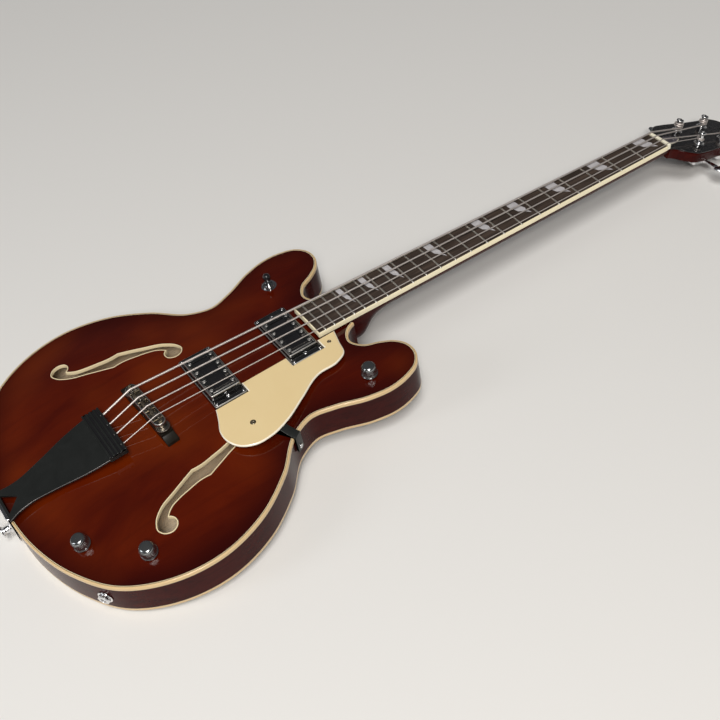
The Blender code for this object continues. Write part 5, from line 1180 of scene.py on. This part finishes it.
# Tailpiece, its bracket and the strap buttons
def makeTailpiece():
    long, wide, thick = tail["block"]
    front = bridgeStation - bridge["toTailpiece"]
    rear = front - long
    tilt = atan2(tail["blockHeight"] - thick + 1 - tail["height"], rear)
    plateAt = shift(0, 0, tail["height"]) @ turn("Y", -tilt)
    waist, waistHalf = tail["waist"]
    side = smoothLine([(1, tail["tailHalf"]), (12, 21), (waist, waistHalf), (waist + 28, 24), (rear - 25, 33),
                       (rear + 2, wide / 2 - 1)], 10)
    outline = np.vstack([side, side[::-1] * (1, -1)])
    hole = movedShape(plateShape(eased(tail["window"], 1.8, 5, closed=True), -5, 8, 0.01, 1), plateAt)
    # the plate's bevel takes the lighter black: a painted edge highlight
    plate = movedShape(plateShape(outline, 0, tail["thick"], 0.6, 4, edgeLook=1), plateAt)
    makePiece("tailpiece", [plate], ["black_metal", "blackEdgeHighlight"], carve=[hole])

    top, deep, bands = tail["blockHeight"], tail["groove"], 2 * tail["ribs"] - 1
    edges = rear + np.arange(bands + 1) * long / bands
    profile = [(rear, top - thick)]
    for k in range(bands):      # rib, groove, rib and so on
        level = top - deep * (k % 2)
        profile += [(edges[k], level), (edges[k + 1], level)]
    profile.append((front, top - thick))
    block = plateShape(eased(profile, 0.35, 2, closed=True), -wide / 2, wide / 2, 0.5, 3)
    shapes = [movedShape(block, sideways)]
    for k in range(1, bands, 2):      # painted shade: a darker floor in each groove
        shapes.append(boxShape(edges[k] + 0.15, edges[k + 1] - 0.15, 1.2 - wide / 2, wide / 2 - 1.2,
                               top - deep - 0.2, top - deep + 0.1, 0.05, look=1))
    for name, radius in stringRadii.items():
        holeAt = shift(front, stringSide(name, neck["spreadAtBridge"]), top - tail["anchorDepth"] + 0.1)
        collar = rodShape(2.9, -3, 0.4, 28, soft=(0.3, 2), hole=radius + 0.1)
        shapes.append(movedShape(collar, holeAt, turn("Y", pi / 2)))
    makePiece("tailpiece_block", shapes, ["black_metal", "blackPlastic"])

    sheet, end = tail["sheet"], tail["shelfEnd"]
    outside = -0.6 - sheet
    foot, shelf = 8 - bodyPlan["depth"], tail["height"] - 0.3
    bent = eased([(outside, foot), (outside + sheet, foot), (outside + sheet, shelf - sheet), (end, shelf - sheet),
                  (end, shelf), (outside, shelf)], 0.8, 5, closed=True)
    shapes = [movedShape(plateShape(bent, -tail["bracketHalf"], tail["bracketHalf"], 0.45), sideways)]
    outwards = turn("Y", -pi / 2)
    shapes += [screwShape("bracket", shift(outside, y, -0.25 * bodyPlan["depth"]), outwards) for y in (12, 0, -12)]
    makePiece("tail_bracket", shapes, ["chrome"])

    low = -neck["board"] - neck["gap"] - neck["heelDepth"]
    heel = placed((onNeck(neckJoint + 7.8, low), 0, low), neckAt)
    button = [turnedShape(tail["button"], 48, soft=(0.7, 4)), screwShape("button", shift(0, 0, 11.4))]
    makePiece("strap_button_tail", button, ["chrome"], at=shift(outside, 0, -0.62 * bodyPlan["depth"]) @ outwards)
    makePiece("strap_button_heel", button, ["chrome"], at=shift(*heel) @ turn("Y", neck["angle"] + pi))


makeBridge()
makeTailpiece()
print("bridge and tailpiece made")


# Pickups
def makePickup(name, station):
    deep, wide, tall = pickup["size"]
    ringDeep, ringWide, ringTall = pickup["ring"]
    corner = max(topAt(station + a * ringDeep / 2, 0) for a in (-1, 0, 1))
    at = shift(station, 0, corner + 0.3) @ turn("Y", pickup["pitch"])
    ringTop = ringDeep / 2 * tan(pickup["pitch"]) + ringTall
    foot, length, width = -3.4, deep + 1.0, wide + 1.0
    rows = [(ringDeep, ringWide, 2.5, foot), (ringDeep, ringWide, 2.5, ringTop - 1.2)]
    rows += [(ringDeep - 2 * d, ringWide - 2 * d, 2.5 - d, ringTop - h) for d, h in pickup["ringEdge"]]
    rows += [(length + 0.5, width + 0.5, 1.5, ringTop), (length + 0.12, width + 0.12, 1.4, ringTop - 0.12),
             (length, width, 1.3, ringTop - 0.45), (length, width, 1.3, foot)]
    # the ring's bevels take the lighter satin metal: painted edge highlights
    shapes = [loftedShape(rows, closeRows=True, look=np.array([0, 2, 2, 2, 0, 2, 0, 0, 0]))]
    hang = (wide + pickup["earSpan"]) / 4
    for side in (-1, 1):      # a height screw with its rod, and two corner screws
        shapes.append(screwShape("pickupHeight", shift(0, side * hang, ringTop + 0.1), look=1))
        shapes.append(movedShape(rodShape(1.2, ringTop - 26, ringTop, 16, look=1), shift(0, side * hang, 0)))
        for end in (-1, 1):
            corner = (end * (ringDeep / 2 - 3.4), side * (ringWide / 2 - 3.4), ringTop + 0.05)
            shapes.append(screwShape("pickupCorner", shift(*corner), look=1))
    makePiece("pickup_ring_" + name, shapes, ["dark_nickel", "chrome", "satinEdgeHighlight"], at=at)

    crest = ringTop + pickup["proud"][name]
    floor, length, width = crest - tall, deep - 18, wide - 18
    rows = [(deep, wide, 2.0, floor), (deep, wide, 2.0, crest - 1.3)]
    rows += [(deep - 2 * d, wide - 2 * d, 2.0 - d, crest - h) for d, h in pickup["coverEdge"]]
    rows += [(length + 0.8, width + 0.8, 1.2, crest), (length + 0.2, width + 0.2, 1.0, crest - 0.2),
             (length, width, 0.9, crest - 1.5)]
    well = plateShape(rounded(length - 0.2, width - 0.2, 0.8), crest - 1.6, crest - 1.15, 0.2, look=1)
    # the cover's bevels take the lighter satin metal: painted edge highlights
    shapes = [loftedShape(rows, look=np.array([0, 2, 2, 2, 2, 0, 0, 0])), well]
    for k in range(4):
        for row in (-1, 1):
            pole = (row * pickup["poleRow"], (k - 1.5) * pickup["poleSpacing"])
            shapes.append(screwShape("pole", shift(*pole, crest + 0.05), look=2))
            ring = rodShape(2.9, -0.2, 0.12, 32, 1, (0.08, 2), 2.35)
            shapes.append(movedShape(ring, shift(*pole, crest)))
    for side in (-1, 1):      # a fine raised line along each long side, and a bar across each end of the well, in the lighter satin metal: painted highlights
        line, bar = side * 16.4, side * 30.6
        shapes += [boxShape(line - 0.35, line + 0.35, 3 - wide / 2, wide / 2 - 3, crest - 0.2, crest + 0.35, 0.25, 2),
                   boxShape(5 - deep / 2, deep / 2 - 5, bar - 0.9, bar + 0.9, crest - 0.3, crest + 0.6, 0.4, 2)]
    makePiece("pickup_" + name, shapes, ["dark_nickel", "blackPlastic", "satinEdgeHighlight"], "pickup_" + name, at=at)
    ears = plateShape(rounded(12, pickup["earSpan"], 4), floor - 1.6, floor - 0.2, 0.3)
    holes = [movedShape(rodShape(1.6, floor - 3, floor + 3, 16), shift(0, side * hang, 0)) for side in (-1, 1)]
    makePiece("pickup_ears_" + name, [ears], ["steel"], "pickup_" + name, at=at, carve=holes)


for pickupName, station in pickupStations.items():
    makePickup(pickupName, station)


# Knobs and switch
knobPlan = {"radius": 9.6, "height": 15, "skirt": 1.2, "shaft": 2.8}


def makeKnob(name):
    at = topFrame(*knobs[name])
    r, low = knobPlan["radius"], knobPlan["skirt"]
    top = knobPlan["height"] + low
    inside = r - 1.8
    profile = [(0, 2.0), (knobPlan["shaft"], 2.0), (knobPlan["shaft"], 5), (inside, 5), (inside, low), (r - 0.1, low),
               (r, low + 0.5), (r, low + 1.4), (0.95 * r, low + 1.8), (0.93 * r, low + 2.4), (0.86 * r, top - 4.0),
               (0.83 * r, top - 3.8), (0.83 * r, top - 3.3), (0.81 * r, top - 2.7), (0.76 * r, top - 1.7),
               (0.66 * r, top - 0.85), (0.56 * r, top - 0.42), (0.33 * r, top - 0.28), (0, top - 0.2)]
    knob = turnedShape(profile, 144, soft=(0.25,), knurl=(36, 0.3, low + 2.5, top - 4.1))
    makePiece("knob_" + name, [knob], ["knobNickel"], "knob_" + name, at=at, sharp=40)
    dressed("pot_" + name, "steel")
    washer = rodShape(7.4, 0.05, 0.7, 48, soft=(0.15, 2), hole=4.5)
    makePiece("washer_" + name, [washer], ["steel"], at=at)


switch = {
    "ball": 3.9, "start": 0.2,
    "tube": [(4.5, -5.4), (6, -5.4), (6, 4.0), (5.7, 4.4), (4.5, 4.4)],
    "washer": [(4.5, 0.0), (9.6, 0.0), (9.6, 0.45), (4.5, 0.6)],
    "can": [(0, -21.4), (9, -21.4), (9, -5.4), (4.5, -5.4), (4.5, -7), (7, -9), (7, -19.4), (0, -19.4)],
    "tip": [(0, 7.6), (2.2, 7.6), (2.8, 8.4), (4.0, 11.5), (4.7, 14.5), (4.6, 17.2), (3.2, 19.6), (0, 20.3)],
}
jack = {
    "socket": [(3.3, -22), (3.3, 5), (5, 5), (6.1, 4.6), (6.1, -6.9), (7.5, -6.9), (7.5, -24), (3.3, -24)],
    "washer": [(5.4, 0.35), (8.6, 0.35), (8.6, 1.0), (8.0, 1.5), (5.4, 1.5)],
}


def makeSwitch():
    at = topFrame(*switchPlace)
    shapes = [turnedShape(switch["tube"], 48, soft=(0.2, 2)), turnedShape(switch["washer"], 48, soft=(0.15, 2)),
              turnedShape(switch["can"], 40, soft=(0.3,))]
    makePiece("switch_body", shapes, ["chrome"], at=at)
    hexagon = plateShape(eased(circle(0, 0, 8.6, 6), 0.9, 2, closed=True), 0.65, 3.2, 0.7, 4)
    makePiece("switch_nut", [movedShape(hexagon, turn("Z", switch["start"]))], ["chrome"], at=at,
              carve=[rodShape(6.2, 0, 8)])
    angle = np.linspace(-1.1, 1.1, 10)
    ball = switch["ball"] * np.stack([np.cos(angle), np.sin(angle)], 1)
    arm = np.vstack([[(0, -9), (1.8, -9)], ball, [(1.4, 5), (1.4, 9.4), (0, 9.4)]])
    shapes = [turnedShape(arm, 36), turnedShape(switch["tip"], 40, 1, (1.2, 5))]
    makePiece("switch_lever", shapes, ["chrome", "blackPlastic"], "lever", at=at @ shift(0, 0, -1))


def makeJack():
    shapes = [turnedShape(jack["socket"], 40, soft=(0.25, 2)), turnedShape(jack["washer"], 56, soft=(0.25, 2))]
    makePiece("output_jack", shapes, ["chrome"], at=jackAt)
    hexagon = plateShape(eased(circle(0, 0, 7.4, 6), 0.5, 2, closed=True), 1.8, 4.3, 0.4)
    makePiece("jack_nut", [hexagon], ["chrome"], at=jackAt, carve=[rodShape(5.6, 0, 8)])


for knobName in knobs:
    makeKnob(knobName)
makeSwitch()
makeJack()
print("pickups, knobs, switch and jack made")


# Pickguard
guard = {"thick": 2.5, "heights": (14, 9), "stations": (270, 400), "bevel": 1.1,
         "screws": [(268, -89, "guardFront"), (399, -42, "guardBack")], "clear": 0.75, "innerEdge": 30.5,
         "edge": [(408, -50), (403, -67), (389, -74.5), (363, -76), (329, -94), (300, -110), (276, -117.5),
                  (255, -117), (240, -108), (232.5, -93), (232.5, -78), (239, -62)],
         "bracket": (11, 1.2, 34, 24), "bracketStation": 297, "standoff": 1.9}


def guardHeight(x):
    share = (x - guard["stations"][0]) / (guard["stations"][1] - guard["stations"][0])
    return guard["heights"][0] + (guard["heights"][1] - guard["heights"][0]) * share


def makeGuard():
    ringDeep, ringWide = (size / 2 + guard["clear"] for size in pickup["ring"][:2])
    inner = guard["innerEdge"]
    near, far = pickupStations["neck"], pickupStations["bridge"]
    curve = smoothLine([(boardEnd + 18, -inner), *guard["edge"], (far - ringDeep, -ringWide - 1)], 10)
    notches = [(far - ringDeep, -ringWide), (far + ringDeep, -ringWide), (far + ringDeep, -inner),
               (near - ringDeep, -inner), (near - ringDeep, -ringWide), (near + ringDeep, -ringWide),
               (near + ringDeep, -inner)]
    outline = anticlockwise(np.vstack([curve[:-1], notches]))
    thick, bevel = guard["thick"], guard["bevel"]
    inwards = [bevel + 0.6, 0.3, 0.0, 0.0, 0.12, bevel, bevel + 0.12, bevel + 0.6]
    height = [-thick, -thick, -thick + 0.3, -bevel - 0.15, -bevel, -0.06, 0, 0]
    rings = np.stack([leftOf(outline, d) for d in inwards])
    points = np.dstack([rings, guardHeight(rings[..., 0]) + np.array(height)[:, None]])
    shapes = [gridShape(points, look=np.array([0, 0, 1, 1, 1, 0, 0]))]
    for x, y, kind in guard["screws"]:
        top, foot, radius = guardHeight(x), topAt(x, y) + 0.9, screw[kind][0]
        cup = [(radius - 0.2, 0), (radius + 0.6, 0), (radius + 0.5, 0.25), (radius, 0.45), (radius - 0.2, 0.4)]
        shapes += [screwShape(kind, shift(x, y, top + 0.1), look=2),
                   movedShape(turnedShape(cup, 40, 2, (0.08, 2)), shift(x, y, top - 0.02)),
                   movedShape(rodShape(1.8, foot, top - 0.4, 24), shift(x, y, 0))]
    makePiece("pickguard", shapes, ["guardCream", "guardEdge", "agedBrass"])

    width, thick, reach, drop = guard["bracket"]
    at = rimFrame(guard["bracketStation"], 0)
    inEnd = placed((0, 0, -reach), at)
    high = guardHeight(inEnd[0] + width / 2) - guard["thick"] - 0.6 - thick
    out, lip = guard["standoff"], 1.5
    path = [(-reach, high), (-0.45 * reach, high), (-3, lip), (out, lip - 1), (out, -drop)]
    back = [(-reach, high + thick), (-0.45 * reach + 0.5, high + thick), (-2.4, lip + thick),
            (out + thick, lip - 1 + thick), (out + thick, -drop)]
    profile = eased(path + back[::-1], 1.0, 4, closed=True)
    strip = movedShape(plateShape(profile, -width / 2, width / 2, 0.4), acrossRim)
    shapes = [strip, screwShape("guardSide", shift(0, 6 - drop, out + thick + 0.1), look=1),
              movedShape(rodShape(1.5, 0.9, out + 0.6, 20, look=1), shift(0, 6 - drop, 0))]
    makePiece("pickguard_bracket", shapes, ["black_metal", "chrome"], at=at)


makeGuard()
dressed("centre_block", "bare_maple")
dressed("truss_rod", "steel")
print("pickguard made")


# Floor, lights and camera
stage = {"floor": (0.80, 0.79, 0.77), "smear": 0.985, "reach": 24.0, "paper": (3.0, 0.7, 0.1),
         "world": (0.88, 0.91, 0.96), "worldStrength": 0.06}
lamps = {
    # the kind, where it stands, where it aims, and its settings
    "skylight": ("SUN", (-0.55, -0.85, 2.4), (0, 0, 0), {"energy": 1.45, "angle": radians(24),
                                                         "color": (1, 0.985, 0.96)}),
    "front": ("AREA", (-1.0, -1.75, 2.05), (-0.15, 0, 0), {"shape": "RECTANGLE", "size": 0.7, "size_y": 0.6,
                                                           "energy": 41, "color": (1, 0.96, 0.91)}),
    "side": ("AREA", (-1.9, 0.2, 1.0), (-0.2, 0, 0), {"shape": "RECTANGLE", "size": 0.5, "size_y": 0.9,
                                                      "energy": 5, "color": (0.94, 0.97, 1)}),
}
view = {"place": (-0.5621, -0.8369, 0.9608), "turn": (43.905, 5.308, -34.582), "lens": 54.427}


def stand(name, data, place, rotation):
    holder = bpy.data.objects.new(name, data)
    holder.location, holder.rotation_euler = place, rotation
    scene.collection.objects.link(holder)
    return holder


def makeStage():
    mesh = bpy.data.meshes.new("floor")
    x, y = np.meshgrid(*[np.linspace(-stage["reach"], stage["reach"], 9)] * 2)
    points = np.stack([x.ravel(), y.ravel(), np.zeros(x.size)], 1)
    index = np.arange(81).reshape(9, 9)
    quads = np.stack([index[:-1, :-1], index[:-1, 1:], index[1:, 1:], index[1:, :-1]], -1).reshape(-1, 4)
    mesh.from_pydata(points.tolist(), [], quads.tolist())
    tree, shader, used = startLook("floorPaper", {}, *stage["paper"])
    smeared = tuple(stage["smear"] * part for part in stage["floor"])
    tree.links.new(mixed(tree, used["Mask"], stage["floor"], smeared), shader["Base Color"])
    mesh.materials.append(materials["floorPaper"])
    stand("floor", mesh, (0, 0, 0), (0, 0, 0))
    scene.world = bpy.data.worlds.new("studio")
    scene.world.use_nodes = True
    sky = scene.world.node_tree.nodes["Background"].inputs
    sky["Color"].default_value, sky["Strength"].default_value = (*stage["world"], 1), stage["worldStrength"]
    for name, (kind, place, aim, settings) in lamps.items():
        light = bpy.data.lights.new(name, kind)
        for key, value in settings.items():
            setattr(light, key, value)
        stand(name, light, place, (Vector(aim) - Vector(place)).to_track_quat("-Z", "Y").to_euler())
    camera = bpy.data.cameras.new("camera")
    camera.sensor_width, camera.lens = 36, view["lens"]
    scene.camera = stand("camera", camera, view["place"], [radians(a) for a in view["turn"]])


makeStage()
scene.view_settings.view_transform = "Standard"
print("stage made")
